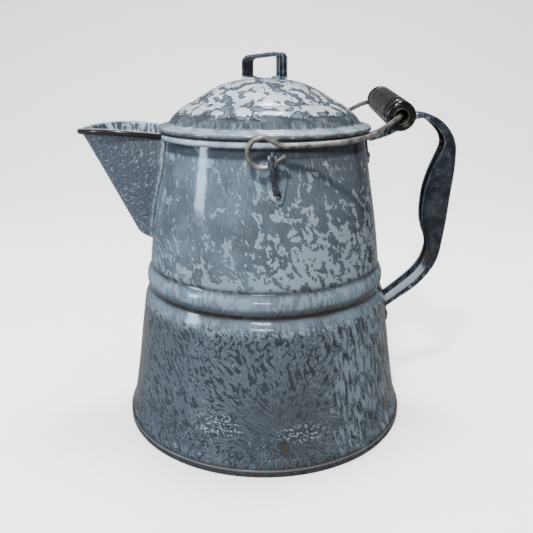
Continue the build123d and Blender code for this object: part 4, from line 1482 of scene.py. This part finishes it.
class BOILER_OT_stage(bpy.types.Operator):
    """Sets the pale floor, the soft lights and the camera"""

    bl_idname = "boiler.stage"
    bl_label = "Studio"

    def execute(self, context):
        self.floor()
        world = bpy.data.worlds.new("studio")
        world.use_nodes = True
        tree = Tree(world.node_tree.nodes, world.node_tree.links, "ShaderNode")
        seen = tree.add("LightPath").outputs["Is Camera Ray"]
        tints = {"Factor": seen, 6: (0.22, 0.23, 0.24), 7: (2.2, 2.2, 2.2)}
        tint = tree.add("Mix", {"data_type": "RGBA"}, tints)
        tree.feed(world.node_tree.nodes["Background"].inputs[0], tint.outputs[2])
        context.scene.world = world
        lamps = [self.light(*row) for row in LIGHTS]
        only = bpy.data.collections.new("floor_only")
        only.objects.link(bpy.data.objects["studio_floor"])
        lamps[-1].light_linking.receiver_collection = only
        self.camera(context)
        return {"FINISHED"}

    def floor(self):
        """A wide floor that curves up behind the object."""
        path = filleted([(0.0, -2500.0, 0.0), (0.0, 1800.0, 0.0), (0.0, 1800.0, 2600.0)], [900.0], 20)
        rows = [[(x, p.y, p.z - 0.05) for x in (-3500.0, 3500.0)] for p in path]
        floor = smooth_all(rings_mesh("studio_floor", rows, closed=False))
        paint(floor, floor_finish)

    def light(self, name, place, width, height, power, tint):
        """A soft rectangular light that looks at the pot."""
        data = bpy.data.lights.new(name, "AREA")
        data.shape = "RECTANGLE"
        data.size = width
        data.size_y = height
        data.energy = power
        data.color = tint
        lamp = bpy.data.objects.new(name, data)
        lamp.location = place
        aim = LIGHT_TARGET - Vector(place)
        lamp.rotation_euler = aim.to_track_quat("-Z", "Y").to_euler()
        bpy.context.scene.collection.objects.link(lamp)
        return lamp

    def camera(self, context):
        """A close camera, a little above the lid and looking down at the body."""
        data = bpy.data.cameras.new("camera")
        data.lens = LENS
        data.sensor_width = SENSOR
        view = bpy.data.objects.new("camera", data)
        view.location = CAMERA_PLACE
        view.rotation_euler = (CAMERA_TILT, 0.0, 0.0)
        context.scene.collection.objects.link(view)
        context.scene.camera = view


OPERATORS = (BOILER_OT_stage, BOILER_OT_body, BOILER_OT_spout, BOILER_OT_handle, BOILER_OT_ears,
             BOILER_OT_rivets, BOILER_OT_lid, BOILER_OT_lid_handle, BOILER_OT_bail, BOILER_OT_grip,
             BOILER_OT_inner)


class BOILER_PT_panel(bpy.types.Panel):
    """Lists the settings and the steps"""

    bl_label = "Coffee boiler"
    bl_idname = "BOILER_PT_panel"
    bl_space_type = "VIEW_3D"
    bl_region_type = "UI"
    bl_category = "Boiler"

    def draw(self, context):
        for group in (context.scene.boiler_sizes, context.scene.boiler_colours):
            box = self.layout.box()
            for name in group.__annotations__:
                box.prop(group, name)
        for operator in OPERATORS:
            self.layout.operator(operator.bl_idname)


CLASSES = (BoilerSizes, BoilerColours, *OPERATORS, BOILER_PT_panel)


def register():
    """Registers the classes and their settings."""
    for item in CLASSES:
        bpy.utils.register_class(item)
    bpy.types.Scene.boiler_sizes = PointerProperty(type=BoilerSizes)
    bpy.types.Scene.boiler_colours = PointerProperty(type=BoilerColours)


def unregister():
    """Removes them again."""
    del bpy.types.Scene.boiler_colours
    del bpy.types.Scene.boiler_sizes
    for item in reversed(CLASSES):
        bpy.utils.unregister_class(item)


def main():
    """Builds everything."""
    register()
    for operator in OPERATORS:
        group, name = operator.bl_idname.split(".")
        getattr(getattr(bpy.ops, group), name)()


if __name__ == "__main__":
    main()
